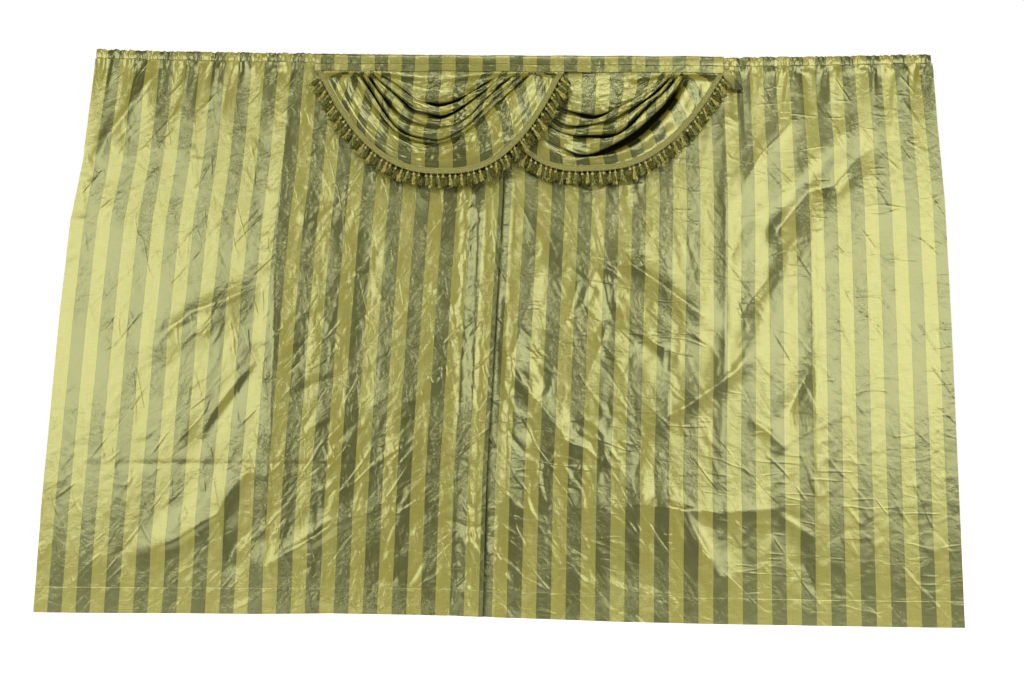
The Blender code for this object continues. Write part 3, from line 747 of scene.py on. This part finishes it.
def panel_depth(x, z, top, inner, left):
    down = top - z
    folds = main_folds(x, z, FOLDS_LEFT if left else FOLDS_RIGHT) * smooth(down / 0.10)
    folds *= 0.45 if left else np.where(x > 0.75, 0.46, 0.62)
    hem = 0.006 * np.sin(7.3 * x + 1.2) * smooth((-1.5 - z) / 0.9)
    relief = crumples(x, z, 21 if left else 34) * crumple_share(x, z, left)
    sharp = np.zeros_like(x)
    for wide, out, places in CREASES_LEFT if left else CREASES_RIGHT:
        crease(sharp, x, z, wide, out, places)
    relief = (relief + sharp) * smooth(down / 0.12)
    stitched = np.exp(-(((z - look_up(HEM_LINE, x) - HEM_UP) / 0.012) ** 2))
    relief += 0.0016 * noise(x, z, 0.018, 55) * stitched
    depth = folds + hem + relief
    depth += puckers(x, down, 11 if left else 17)
    calm = np.clip(depth, -FLAT_OUT, FLAT_OUT)
    depth += (calm - depth) * behind_valance(x, z)
    near = 1 - smooth(np.abs(x - inner) / (0.070 if left else 0.060))
    if left:
        depth = depth * (1 - 0.6 * near) + LEAD_OUT * near
    else:
        near = np.where(x < inner, 1.0, near)
        depth = depth * (1 - near) - UNDER_IN * near
    return depth + SEWN_OUT * np.exp(-((down / 0.022) ** 2))


# %% Make the panels
PANEL_DOWN, PANEL_ACROSS = 346, 280
SLIT_SHADOW_WIDE = 0.0042  # width of the painted shadow beside the left panel's edge, where it laps over the right one
hem_v = -FLAT_DROP + HEM_UP
silk_left = silk("striped_silk_left", lean=0.90, hem_at=hem_v, calm=(1.00, 0.72))
silk_right = silk("striped_silk_right", lean=-0.95, hem_at=hem_v, calm=(0.66, 0.92), painted_shade=True)
for side, left, material in (("left", True, silk_left), ("right", False, silk_right)):
    x, z, u, v, top, inner = panel_places(left, PANEL_DOWN, PANEL_ACROSS)
    y = -panel_depth(x, z, top, inner, left)
    # Painted shadow: a thin dark line on the right panel's gap map, just beside the left panel's
    # lapping edge
    slit_shadow = np.exp(-(((x - inner) / SLIT_SHADOW_WIDE) ** 2))
    slit_shadow *= np.clip(0.72 + 0.45 * noise(0 * x, z, 0.21, 9), 0, 1)
    gap = None if left else slit_shadow
    panel = cloth("silk_panel_" + side, x, y, z, u, v, material, thick=0, gap=gap)
    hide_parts("curtain_" + side)

# %% [markdown]
# ## Gathered headings
# The heading is a flat sleeve for the rod. Pushed along the rod it ruches into narrow
# upright puckers that scallop its top edge. A displaced box would do from afar. Here one
# ring of points is swept along the top line, and the puckers push its front and back out.

# %% Sleeves
AROUND, STATIONS = 20, 740


def sleeve(name, x, top, height, deep, middle_y, ruche, u, material, seed):
    """A flat open tube of cloth along x, and its length."""
    turn = np.linspace(0, 2 * np.pi, AROUND, endpoint=False)[None, :]
    cos, sin = np.cos(turn), np.sin(turn)
    y_unit = np.sign(sin) * np.abs(sin) ** 0.45
    z_unit = np.sign(cos) * np.abs(cos) ** 0.5
    xs = x[:, None] + 0 * turn
    lift = (z_unit + 1) / 2
    pucker = ruching(xs, lift, seed)
    half = deep / 2 + ruche * pucker * np.abs(y_unit)
    ys = middle_y - y_unit * half
    scallop = 0.9 * ruche * pucker * smooth(lift * 3 - 2)
    zs = top[:, None] - height / 2 + z_unit * height / 2 + scallop
    us = u[:, None] + 0 * xs
    vs = 0 * xs + height * 1.3 * turn / np.pi
    made = cloth(name, xs, ys, zs, us, vs, material, closed=True, gap=0 * xs)
    return made, float(np.ptp(x))


def heading_u(x, left):
    inner = look_up(PARTING, 0.0)
    outer = LEFT_SIDE[-1][1] if left else RIGHT_SIDE[-1][1]
    full = FLAT_LEFT if left else FLAT_RIGHT
    return (x - inner) * full / abs(outer - inner) + (U_LEFT if left else U_RIGHT)


for side, left, material in (("left", True, silk_left), ("right", False, silk_right)):
    ends = (-1.800, 0.034) if left else (0.038, 1.900)
    x = np.linspace(*ends, STATIONS)
    seed = 61 if left else 67
    ruche = (RUCHE - 0.0034 * under_valance(x))[:, None]
    u = heading_u(x, left) + 0.010 * noise(x, 0 * x, 0.021, seed + 9)
    made, across = sleeve(
        "silk_heading_" + side, x, look_up(TOP_LINE, x), POCKET_HEIGHT, POCKET_DEPTH - 0.001,
        0.0, ruche, u, material, seed,
    )
    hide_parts("heading_" + side)

# %% [markdown]
# ## The valance's pocket and band
# This pocket isn't gathered, so the same sleeve serves with hardly any puckers. A stitched
# line parts it from the flat band, whose stripes line up with it. Only faint slack and a
# few puckers along the stitches show.

# %% Pocket and band
BAND_LEFT, BAND_RIGHT = -0.812, 0.990
BAND_TOP, BAND_POCKET, BAND_HEIGHT, BAND_DEPTH = -0.010, 0.045, 0.076, 0.024
BAND_BACK = -(POCKET_DEPTH / 2 + 0.0012 + 0.0005)
BAND_MIDDLE = BAND_BACK - BAND_DEPTH / 2
BAND_Y = BAND_BACK - BAND_DEPTH + 0.003 + 0.001
TUCK = BAND_Y + 0.002 + 0.0005
BAND_FIRST_GOLD, BAND_STRIPE = -0.726, 0.0597
BULGE = 0.0028  # the band's top stands out over the pocket's foot
silk_band = silk("striped_silk_band", lean=0.3, amount=0.55)
x = np.linspace(BAND_LEFT, BAND_RIGHT, 420)
top = BAND_TOP + 0.0012 * np.sin(2.4 * (x - BAND_LEFT) / 0.1001)
band_u = (x - BAND_FIRST_GOLD) * STRIPE / BAND_STRIPE
pocket, across = sleeve(
    "silk_valance_pocket", x, top, BAND_POCKET, BAND_DEPTH - 0.001,
    BAND_MIDDLE, 0.0006, band_u, silk_band, 71,
)
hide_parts("valance_heading")
share = np.linspace(0, 1, 14)[:, None]
xs = x[None, :] + 0 * share
zs = top[None, :] - BAND_POCKET + 0.0014 - (BAND_HEIGHT - BAND_POCKET) * share
slack = 0.0012 * noise(xs, zs, 0.05, 73) + 0.0012 * noise(xs, 2 * zs, 0.014, 74) * (1 - share) ** 2
zs = zs + 0.0018 * noise(xs, 0 * xs, 0.13, 75) * share
ys = BAND_Y - 0.0004 - BULGE * (1 - share) ** 1.5 - slack
band = cloth("silk_valance_band", xs, ys, zs, band_u[None, :] + 0 * xs, zs, silk_band)
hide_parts("valance_band")

# %% [markdown]
# ## Swags
# A swag is one cut of silk, pleated into both ends of its top edge, so its folds swoop
# from end to end. Each row of the table is one such line: a crevice, the crest of a fold,
# or the edge. The crests hang over the crevices below them, which shades them, and painted
# shade on the gap map darkens those gaps further.
# A simulation would find folds of its own, so these are drawn line by line.

# %% Swag tables, as in the solids
SWAG_HANG = -0.062
SWAG_LEFT = [
    # name, x_left, x_low, x_right, z_low, bow_left, bow_right, out
    ("top edge", -0.530, -0.250, 0.037, -0.062, 2.0, 2.0, 0.000),
    ("under band", -0.533, -0.250, 0.040, -0.100, 4.0, 4.0, 0.002),
    ("flat face", -0.538, -0.250, 0.044, -0.196, 3.4, 3.0, 0.022),
    ("crevice 1", -0.553, -0.250, 0.060, -0.221, 3.2, 2.8, 0.005),
    ("fold 1", -0.567, -0.250, 0.074, -0.246, 3.2, 2.6, 0.030),
    ("crevice 2", -0.581, -0.250, 0.090, -0.272, 3.2, 2.5, 0.007),
    ("fold 2", -0.595, -0.250, 0.104, -0.310, 3.2, 2.4, 0.037),
    ("crevice 3", -0.609, -0.250, 0.118, -0.344, 3.2, 2.3, 0.010),
    ("fold 3", -0.624, -0.250, 0.132, -0.371, 3.2, 2.3, 0.043),
    ("crevice 4", -0.639, -0.250, 0.146, -0.398, 3.2, 2.2, 0.013),
    ("fold 4", -0.654, -0.250, 0.160, -0.421, 3.2, 2.2, 0.045),
    ("crevice 5", -0.670, -0.250, 0.174, -0.443, 3.2, 2.2, 0.015),
    ("apron top", -0.694, -0.250, 0.196, -0.467, 3.1, 2.3, 0.040),
    ("apron", -0.744, -0.250, 0.240, -0.500, 2.7, 2.5, 0.031),
    ("braid line", -0.789, -0.250, 0.277, -0.529, 2.4, 2.7, 0.018),
    ("edge", -0.812, -0.250, 0.300, -0.554, 2.4, 2.7, 0.016),
]
SWAG_RIGHT = [
    # name, x_left, x_low, x_right, z_low, bow_left, bow_right, out
    ("top edge", 0.122, 0.430, 0.750, -0.062, 2.0, 2.0, 0.000),
    ("under band", 0.119, 0.430, 0.753, -0.100, 4.0, 4.0, 0.002),
    ("flat face", 0.114, 0.430, 0.757, -0.238, 2.8, 2.3, 0.022),
    ("crevice 1", 0.102, 0.425, 0.767, -0.265, 2.7, 2.1, 0.005),
    ("fold 1", 0.089, 0.415, 0.778, -0.290, 2.7, 2.1, 0.033),
    ("crevice 2", 0.076, 0.405, 0.790, -0.315, 2.7, 2.1, 0.008),
    ("fold 2", 0.063, 0.400, 0.804, -0.350, 2.7, 2.2, 0.040),
    ("crevice 3", 0.049, 0.395, 0.818, -0.381, 2.7, 2.2, 0.011),
    ("fold 3", 0.035, 0.390, 0.832, -0.418, 2.7, 2.3, 0.044),
    ("crevice 4", 0.020, 0.390, 0.848, -0.450, 2.7, 2.4, 0.014),
    ("apron top", -0.004, 0.400, 0.880, -0.480, 2.7, 2.4, 0.037),
    ("braid line", -0.101, 0.410, 0.980, -0.511, 2.8, 2.4, 0.018),
    ("edge", -0.123, 0.415, 1.003, -0.535, 2.8, 2.4, 0.016),
]
PLEAT_DEEP, LIP = 0.015, 0.014
GAP = 0.36  # share of a fold's rise that stays deep, so a dark gap shows under the fold above
PER_ROW = 14
SWAG_ACROSS = 190
BEND_LEFT, BEND_RIGHT = 0.40, 0.14  # where a fold stops falling straight and turns level
SPREAD_FROM, SPREAD_OVER = -0.088, 0.045  # the folds open out below the band
OVERLAP = 0.027  # the left swag stands over the right one by this
PROUD, PROUD_MORE = 0.094, 0.011  # no fold stands further out than the sum
print("lines in the swags:", len(SWAG_LEFT), "left,", len(SWAG_RIGHT), "right")


# %% Depth and gaps of the folds
def fold_depth(table, t, seed):
    """Of each line: how far out, how deep, how far it hangs over, and how much painted shade its
    gap gets.
    """
    at = np.linspace(0, len(table) - 1, PER_ROW * (len(table) - 1) + 1)
    low = np.minimum(at.astype(int), len(table) - 2)
    part = (at - low)[:, None]
    crevice = np.array([row[0].startswith("crevice") for row in table])[:, None]
    leaving, entering = crevice[low], crevice[low + 1]
    shape = np.where(entering, part**2.6, smooth(part))
    rows = np.arange(len(table))[:, None] + 0 * t
    opened = np.clip(0.85 + 0.95 * noise(t * 1.9 + 3.1 * rows, rows, 1.0, seed + 6), 0.20, 1.15)
    opened = np.where(crevice, opened, 0.0)
    outs = np.array([row[7] for row in table])[:, None] + 0 * t
    inside = smooth((rows - 2) / 2.0) * smooth((len(table) - 3 - rows) / 1.0)
    outs = outs * (1 + 0.38 * inside * noise(t * 2.6 + 1.7 * rows, rows, 1.0, seed + 8))
    for k in np.flatnonzero(crevice):
        beside = (outs[k - 1] + outs[k + 1]) / 2
        outs[k] += (1 - np.minimum(opened[k], 1.0)) * 0.75 * (beside - outs[k])
    wait = GAP * opened[low]
    rise = np.clip((part - wait) / (1 - wait), 0, 1)
    shape = np.where(leaving, np.sin(np.pi / 2 * rise) ** 1.1, shape)
    out = outs[low] + (outs[low + 1] - outs[low]) * shape
    deep = opened[low] * (1 - shape) + opened[low + 1] * shape
    over = np.where(entering, np.sin(np.pi * part**1.6), 0.0) * LIP * opened[low + 1]
    # Painted shade: under the lip of each fold, and low on the rise behind it
    under = smooth((part - 0.60) / 0.30) * entering * opened[low + 1]
    behind = (1 - smooth((part - 0.7 * wait) / (0.6 * wait + 0.05))) * leaving * opened[low]
    return out, deep, over, under + behind


# %% Swoop of the folds
def eased(level):
    """The lower of level and 1, with a rounded bend."""
    return (level + 1 - np.sqrt((level - 1) ** 2 + 0.05)) / 2


def swoop(table, t, left):
    """x and z of each line, its share of the drop, how far it may stray, and its number."""
    at = np.linspace(0, len(table) - 1, PER_ROW * (len(table) - 1) + 1)
    x_left, x_low, x_right, z_low, bow_left, bow_right = (
        np.interp(at, np.arange(len(table)), [row[k] for row in table])[:, None]
        for k in range(1, 7)
    )
    half = np.where(t < 0, x_low - x_left, x_right - x_low)
    bow = np.where(t < 0, bow_left, bow_right)
    bend = 1 / (1 - np.where(t < 0, BEND_LEFT, BEND_RIGHT))
    turned = (eased((1 - np.abs(t)) * bend) - eased(0.0)) / (eased(bend) - eased(0.0))
    index = at[:, None] + 0 * t
    angular = smooth((len(table) - 3.2 - index) / 1.4) * (0.95 if left else 0.40)
    drop = (1 - np.abs(t) ** bow) * (1 - angular) + turned * angular
    inner = smooth((index - 1.5) / 1.0) * smooth((len(table) - 3 - index) / 1.0)
    return x_low + t * half, SWAG_HANG + (z_low - SWAG_HANG) * drop, drop, inner, index


# %% A swag's cloth
def swag_cloth(table, left, seed):
    """Arrays x, y, z, u and v of a swag, and its gap map of painted shade."""
    s = np.linspace(-1, 1, SWAG_ACROSS)[None, :]
    t = np.sin(np.pi / 2 * s * 0.96) / math.sin(np.pi / 2 * 0.96)
    out, deep, over, gap = fold_depth(table, t, seed)
    x, z, drop, inner, index = swoop(table, t, left)
    wander = 0.0200 * noise(t * 3.1, index * 0.55, 1.0, seed) * np.sqrt(np.clip(drop, 0, 1))
    z = z - over * smooth(drop * 2.2) + wander * inner
    spread = smooth((SPREAD_FROM - z) / SPREAD_OVER)
    if left:
        free = 1.0
        rest = TUCK - OVERLAP * smooth((x + 0.10) / 0.25) * spread
    else:
        free = smooth((x - 0.26) / 0.21)
        rest = TUCK + 0.0115 * (1 - free)
        free = 0.25 + 0.75 * free
    x = x + 0.010 * noise(t * 4.0, index * 0.5, 1.0, seed + 12) * inner
    y = rest + PLEAT_DEEP * deep * free * spread - 1.20 * out * free * spread
    small = 0.0054 * (patches(x + 0.02 * noise(x, z, 0.05, seed), z, 0.046, seed + 3) - 0.5)
    kinks = 1 - 2 * np.abs(noise(x * 0.6 + z, index * 0.22, 0.030, seed + 4))
    y = y - (small + 0.0036 * kinks * inner) * spread * free
    proud = np.maximum(-PROUD - y, 0.0)
    y = y + proud - PROUD_MORE * np.tanh(proud / PROUD_MORE)
    step = np.hypot(np.hypot(np.diff(x, axis=1), np.diff(y, axis=1)), np.diff(z, axis=1))
    run = np.concatenate([np.zeros((len(x), 1)), np.cumsum(step, axis=1)], axis=1)
    middle = np.array([np.interp(0.0, t[0], line) for line in run])[:, None]
    fall = np.hypot(np.diff(z[:, SWAG_ACROSS // 2]), np.diff(y[:, SWAG_ACROSS // 2]))
    v = -np.concatenate([[0.0], np.cumsum(fall)])[:, None] + 0 * t
    # Painted shade in the gaps, none on the top rows that haven't spread out below the band
    gap = np.clip(1.15 * gap, 0, 1) * spread * np.clip(0.35 + free, 0, 1)
    return x, y, z, run - middle, v, gap


silk_swags = silk("striped_silk_swags", lean=0.15, rough=0.25, amount=0.75, painted_shade=True)
swags = {}
for side, left, table, seed in (("left", True, SWAG_LEFT, 81), ("right", False, SWAG_RIGHT, 92)):
    x, y, z, u, v, gap = swag_cloth(table, left, seed)
    made = cloth("silk_swag_" + side, x, y, z, u, v, silk_swags, gap=gap)
    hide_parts("swag_" + side)
    wide, tall = float(np.ptp(u)), float(np.ptp(v))
    areas = float((np.ptp(u, axis=1)[:-1] * -np.diff(v[:, 0])).sum())
    print("swag", side, "cut about", round(wide, 2), "by", round(tall, 2), "area", round(areas, 2))
    swags[side] = (made, x, y, z, wide, tall, areas)

# %% [markdown]
# ## Braid
# A woven braid 25 mm wide covers each swag's raw edge, with a raised cord along either
# side and a lattice between. It could be woven thread by thread, but at this distance a
# ridged strip with the lattice as bump shows the same. It lies on the swag's last rows.

# %% Braid material
BRAID_WIDE, BRAID_LIFT = 0.025, 0.0018
LATTICE, CORD_TWIST = 0.0035, 0.0022
BRAID_DARK, BRAID_PALE = (0.050, 0.043, 0.008, 1.0), (0.50, 0.47, 0.15, 1.0)
FUZZ = (0.70, 0.67, 0.32, 1.0)


def braid_material():
    mat, shader = make_material(
        "old_gold_braid", 0.55, Sheen_Weight=0.10, Sheen_Tint=(0.9, 0.88, 0.45, 1.0),
        Specular_IOR_Level=0.30, Specular_Tint=(1.0, 0.92, 0.50, 1.0),
    )
    place, u, v = read_map(mat, "cloth")
    one = calc(mat, "PINGPONG", calc(mat, "ADD", u, v), LATTICE)
    two = calc(mat, "PINGPONG", calc(mat, "SUBTRACT", u, v), LATTICE)
    lattice = calc(mat, "MULTIPLY", calc(mat, "MINIMUM", one, two), 1 / LATTICE)
    twist = calc(mat, "PINGPONG", calc(mat, "MULTIPLY_ADD", v, 1.4, u), CORD_TWIST)
    fuzz = pattern(mat, place, Scale=420.0, Detail=3.0)
    tone = blend_colour(mat, stepped(mat, lattice, 0.05, 0.55), BRAID_DARK, BRAID_PALE)
    tone = blend_colour(mat, stepped(mat, fuzz, 0.45, 0.70, 0.0, 0.5), tone, FUZZ)
    join(mat, tone, shader.inputs["Base Color"])
    relief = calc(mat, "ADD", lattice, calc(mat, "MULTIPLY", twist, 180.0))
    bumped(mat, shader, relief, 0.9, 0.0012)
    return mat


braid_gold = braid_material()
print("material", braid_gold.name)

# %% Lay the braids
BRAID_RIDGE = [
    # share across from the upper edge, height of the braid over the silk
    (0.00, 0.0008), (0.06, 0.0030), (0.16, 0.0034), (0.24, 0.0014), (0.50, 0.0020),
    (0.76, 0.0014), (0.84, 0.0036), (0.94, 0.0032), (1.00, 0.0008),
]
BRAID_ROWS = 21
braids = {}
for side, (made, x, y, z, wide, tall, areas) in swags.items():
    shares = np.linspace(0, 1, BRAID_ROWS)
    rows = np.linspace(len(x) - 1 - PER_ROW, len(x) - 1, BRAID_ROWS)
    low = np.minimum(rows.astype(int), len(x) - 2)
    part = (rows - low)[:, None]
    line = [a[low] * (1 - part) + a[low + 1] * part for a in (x, y, z)]
    keep = line[2].max(axis=0) < SPREAD_FROM
    bx, by, bz = (a[:, keep] for a in line)
    rise = look_up(BRAID_RIDGE, shares)[:, None]
    edge_x, edge_z = bx[-1], bz[-1]
    step_x, step_z = (np.diff(e, prepend=e[:1]) for e in (edge_x, edge_z))
    run = np.cumsum(np.hypot(step_x, step_z))
    bu = run[None, :] + 0 * bx
    bv = shares[:, None] * BRAID_WIDE + 0 * bx
    name = "braid_" + side + "_woven"
    braid = cloth(name, bx, by - BRAID_LIFT - rise, bz, bu, bv, braid_gold, thick=0.0016)
    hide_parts("braid_" + side)
    braids[side] = np.stack([edge_x, by[-1], edge_z], -1)
    print("braid", side, "length", round(float(run[-1]), 3))

# %% [markdown]
# ## Tassels
# Each tassel is a ring knot under the braid and a skirt of twisted threads, in gold, sage
# or dark olive by turns. A thread, a knot and a plain skirt are modelled with primitives.
# Loose skirts are made of threads and copied along the edge, leaning outward as they hang,
# and a row of plain skirts in dark olive fills in behind them: more fringe, whose dark yarn
# also stands in for the shade between the tassels. Hair strands would be finer than
# shows, and heavier.

# %% Yarn materials
def yarn(name, dark, light):
    mat, shader = make_material(
        name, 0.5, Sheen_Weight=0.10, Sheen_Tint=(0.9, 0.80, 0.30, 1.0),
        Specular_IOR_Level=0.22, Specular_Tint=(1.0, 0.85, 0.45, 1.0),
    )
    strands = pattern(mat, read_map(mat, "strands")[0], Scale=1.0, Detail=3.0, Roughness=0.7)
    tone = blend_colour(mat, stepped(mat, strands, 0.40, 0.58), dark, light)
    join(mat, tone, shader.inputs["Base Color"])
    bumped(mat, shader, strands, 0.8, 0.0012)
    return mat


YARNS = {
    "gold": yarn("yarn_gold", (0.14, 0.115, 0.020, 1), (0.66, 0.60, 0.20, 1)),
    "sage": yarn("yarn_sage", (0.060, 0.066, 0.014, 1), (0.40, 0.42, 0.15, 1)),
    "olive": yarn("yarn_olive", (0.014, 0.013, 0.002, 1), (0.20, 0.19, 0.045, 1)),
    "knot": yarn("yarn_knot", (0.20, 0.165, 0.030, 1), (0.66, 0.61, 0.25, 1)),
}
COLOUR_TURNS = ["gold", "olive", "sage", "gold", "sage", "olive", "gold", "sage"]
print("yarns:", sorted(YARNS))


# %% Model one tassel
def from_ops(name):
    """Points and faces of the active object, which is then removed."""
    made = bpy.context.object
    bpy.ops.object.transform_apply(location=True, rotation=True, scale=True)
    points = np.array([tuple(v.co) for v in made.data.vertices])
    faces = [tuple(p.vertices) for p in made.data.polygons]
    bpy.data.objects.remove(made, do_unlink=True)
    print(name, "points", len(points), "faces", len(faces))
    return points, faces


bpy.ops.object.select_all(action="DESELECT")
bpy.ops.mesh.primitive_cone_add(
    vertices=12, radius1=0.0092, radius2=0.0036, depth=0.044, location=(0, 0, -0.040)
)
bpy.ops.object.mode_set(mode="EDIT")
bpy.ops.mesh.select_all(action="SELECT")
bpy.ops.mesh.subdivide(number_cuts=1)
bpy.ops.object.mode_set(mode="OBJECT")
skirt_points, skirt_faces = from_ops("skirt")
angle = np.arctan2(skirt_points[:, 1], skirt_points[:, 0])
low_share = np.clip((-0.018 - skirt_points[:, 2]) / 0.044, 0, 1)
radius = np.hypot(skirt_points[:, 0], skirt_points[:, 1])
flute = 1 + 0.24 * np.cos(12 * angle) * (radius > 0.001)
belly = 1.12 + 0.20 * np.sin(np.pi * low_share)
skirt_points[:, 0] *= flute * belly
skirt_points[:, 1] *= flute * belly * 0.8
skirt_points[:, 2] -= 0.0025 * np.cos(5 * angle) * (low_share > 0.9)
bpy.ops.mesh.primitive_cone_add(
    vertices=4, radius1=0.0020, radius2=0.0014, depth=1.0, location=(0, 0, -0.5),
    end_fill_type="NOTHING",
)
bpy.ops.object.mode_set(mode="EDIT")
bpy.ops.mesh.select_all(action="SELECT")
bpy.ops.mesh.subdivide(number_cuts=1)
bpy.ops.object.mode_set(mode="OBJECT")
thread_points, thread_faces = from_ops("thread")


def loose_skirt(seed, threads=13):
    """Threads that spread from under the knot, each bowed and cut a little differently."""
    rng = np.random.default_rng(seed)
    points, faces = [], []
    for k in range(threads):
        way = 2 * np.pi * (k + 0.4 * rng.random()) / threads
        foot = rng.uniform(0.0045, 0.0110)
        long = rng.uniform(0.036, 0.047)
        down = -thread_points[:, 2]
        bowed = rng.uniform(-0.002, 0.003) * np.sin(np.pi * down)
        reach = 0.0026 + (foot - 0.0026) * down**0.8 + bowed
        moved = thread_points.copy()
        moved[:, 0] += reach * math.cos(way)
        moved[:, 1] += 0.7 * reach * math.sin(way)
        moved[:, 2] = -0.017 - long * down
        faces += [tuple(i + len(thread_points) * k for i in f) for f in thread_faces]
        points.append(moved)
    return np.vstack(points), faces


loose_skirts = [loose_skirt(k) for k in range(5)]
bpy.ops.mesh.primitive_uv_sphere_add(
    segments=10, ring_count=7, radius=0.0068, location=(0, 0, -0.0115)
)
bpy.context.object.scale = (1.0, 0.72, 0.86)
knot_points, knot_faces = from_ops("knot")
bpy.ops.mesh.primitive_cylinder_add(vertices=6, radius=0.0017, depth=0.010, location=(0, 0, -0.002))
cord_points, cord_faces = from_ops("cord")
knot_faces = knot_faces + [tuple(i + len(knot_points) for i in f) for f in cord_faces]
knot_points = np.vstack([knot_points, cord_points])


# %% Join the copies
TASSELS = 58


def gather_copies(copies, name, material, node):
    points, faces, strands = [], [], []
    for shape_points, shape_faces, turn, place, size in copies:
        start = sum(len(p) for p in points)
        points.append(shape_points * size @ turn.T + place)
        faces += [tuple(i + start for i in f) for f in shape_faces]
        round_way = 8 * np.arctan2(shape_points[:, 1], shape_points[:, 0]) / np.pi
        strands.append(np.stack([round_way + 37.0 * start, 60 * shape_points[:, 2]], -1))
    piece = link_mesh(name, np.vstack(points).tolist(), faces, material)
    corners = [i for f in faces for i in f]
    layer = piece.data.uv_layers.new(name="strands")
    layer.data.foreach_set("uv", np.vstack(strands)[corners].astype(np.float32).reshape(-1))
    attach(piece, "root")
    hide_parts(node)


# %% Hang them along the edges
front = np.array([0.0, -1.0, 0.0])
for side, edge in braids.items():
    rng = np.random.default_rng(5 if side == "left" else 6)
    line = edge[edge[:, 2] < -0.101]
    steps = np.concatenate([[0.0], np.cumsum(np.linalg.norm(np.diff(line, axis=0), axis=1))])
    pitch = steps[-1] / TASSELS
    groups = {key: [] for key in YARNS}
    for k in range(TASSELS):
        spot = (k + 0.5 + 0.14 * rng.normal()) * steps[-1] / TASSELS
        spot = min(max(spot, 0.004), steps[-1] - 0.004)
        place, ahead, back = (
            np.array([np.interp(s, steps, line[:, c]) for c in range(3)])
            for s in (spot, spot + 0.01, spot - 0.01)
        )
        along = (ahead - back) / np.linalg.norm(ahead - back)
        outward = np.array([along[2], 0.0, -along[0]])
        hang = 0.58 * outward + np.array([0.10 * rng.normal(), 0.05 * rng.normal(), -0.42])
        hang /= np.linalg.norm(hang)
        sideways = np.cross(front, -hang)
        sideways /= np.linalg.norm(sideways)
        turn = np.stack([sideways, np.cross(-hang, sideways), -hang], -1)
        place = place + np.array([0.0, -0.0028 - 0.0015 * rng.random(), 0.0]) + hang * 0.002
        size = np.array([rng.uniform(0.9, 1.12), 1.0, rng.uniform(0.90, 1.08)])
        key = COLOUR_TURNS[(k + (3 if side == "right" else 0)) % len(COLOUR_TURNS)]
        groups[key].append((*loose_skirts[int(rng.integers(5))], turn, place, size))
        groups["knot"].append((knot_points, knot_faces, turn, place, size))
        # A plain dark olive skirt behind, half a pitch along: more fringe, and its darkness stands
        # in for the shade between the tassels
        behind = place + 0.5 * pitch * along + np.array([0.0, 0.0022, 0.0]) - 0.004 * hang
        small = np.array([1.05, 0.8, rng.uniform(0.80, 0.96)])
        groups["olive"].append((skirt_points, skirt_faces, turn, behind, small))
    for key, copies in groups.items():
        name = ("tassel_knots_" if key == "knot" else "tassel_skirts_" + key + "_") + side
        gather_copies(copies, name, YARNS[key], "fringe_" + side)
    print("tassels", side, TASSELS, "one every", round(pitch * 1000), "mm")

# %% The swags hang on the band
for side, (made, x, y, z, wide, tall, areas) in swags.items():
    print("swag", side, "hangs on the band")

# %% [markdown]
# ## Corner flap
# At the valance's right end the swag's spare corner sticks out from behind as a small
# turned flap, mostly in shadow, and its gap map paints that shade on it. A table of its
# two edges is enough to make its grid.

# %% Flap
FLAP_EDGES = [
    # share down, x of left side, x of right side, z of left side, z of right side
    (0.0, 0.974, 1.012, -0.064, -0.064),
    (0.3, 0.984, 1.030, -0.092, -0.093),
    (0.6, 1.000, 1.047, -0.122, -0.118),
    (0.8, 1.012, 1.062, -0.142, -0.138),
    (1.0, 1.036, 1.074, -0.162, -0.157),
]
edges = np.array(FLAP_EDGES)
share = np.linspace(0, 1, 16)[:, None]
part = np.linspace(0, 1, 12)[None, :]
sides = [np.interp(share, edges[:, 0], edges[:, k]) for k in range(1, 5)]
xs = sides[0] + (sides[1] - sides[0]) * part
zs = sides[2] + (sides[3] - sides[2]) * part
ys = TUCK + 0.0025 + 0.0030 * smooth(share * 1.6) - 0.0025 * np.sin(np.pi * part * 1.5) * share
# Painted shade on the flap, darker towards its lower end
shade = 0.30 + 0.25 * share + 0 * part
flap = cloth("silk_corner_flap", xs, ys, zs, xs, zs, silk_swags, gap=shade)
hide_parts("corner_flap")

# %% [markdown]
# ## Finish
# The triangles of the silk, braid and tassel pieces are counted, a solidified piece twice.

# %% Triangle counts
counts = {}
for piece in bpy.context.scene.objects:
    if piece.type == "MESH" and piece.name.split("_")[0] in ("silk", "braid", "tassel"):
        shell = 2 if any(m.type == "SOLIDIFY" for m in piece.modifiers) else 1
        counts[piece.name] = shell * sum(len(f.vertices) - 2 for f in piece.data.polygons)
print("triangles:", counts, "in all", sum(counts.values()))
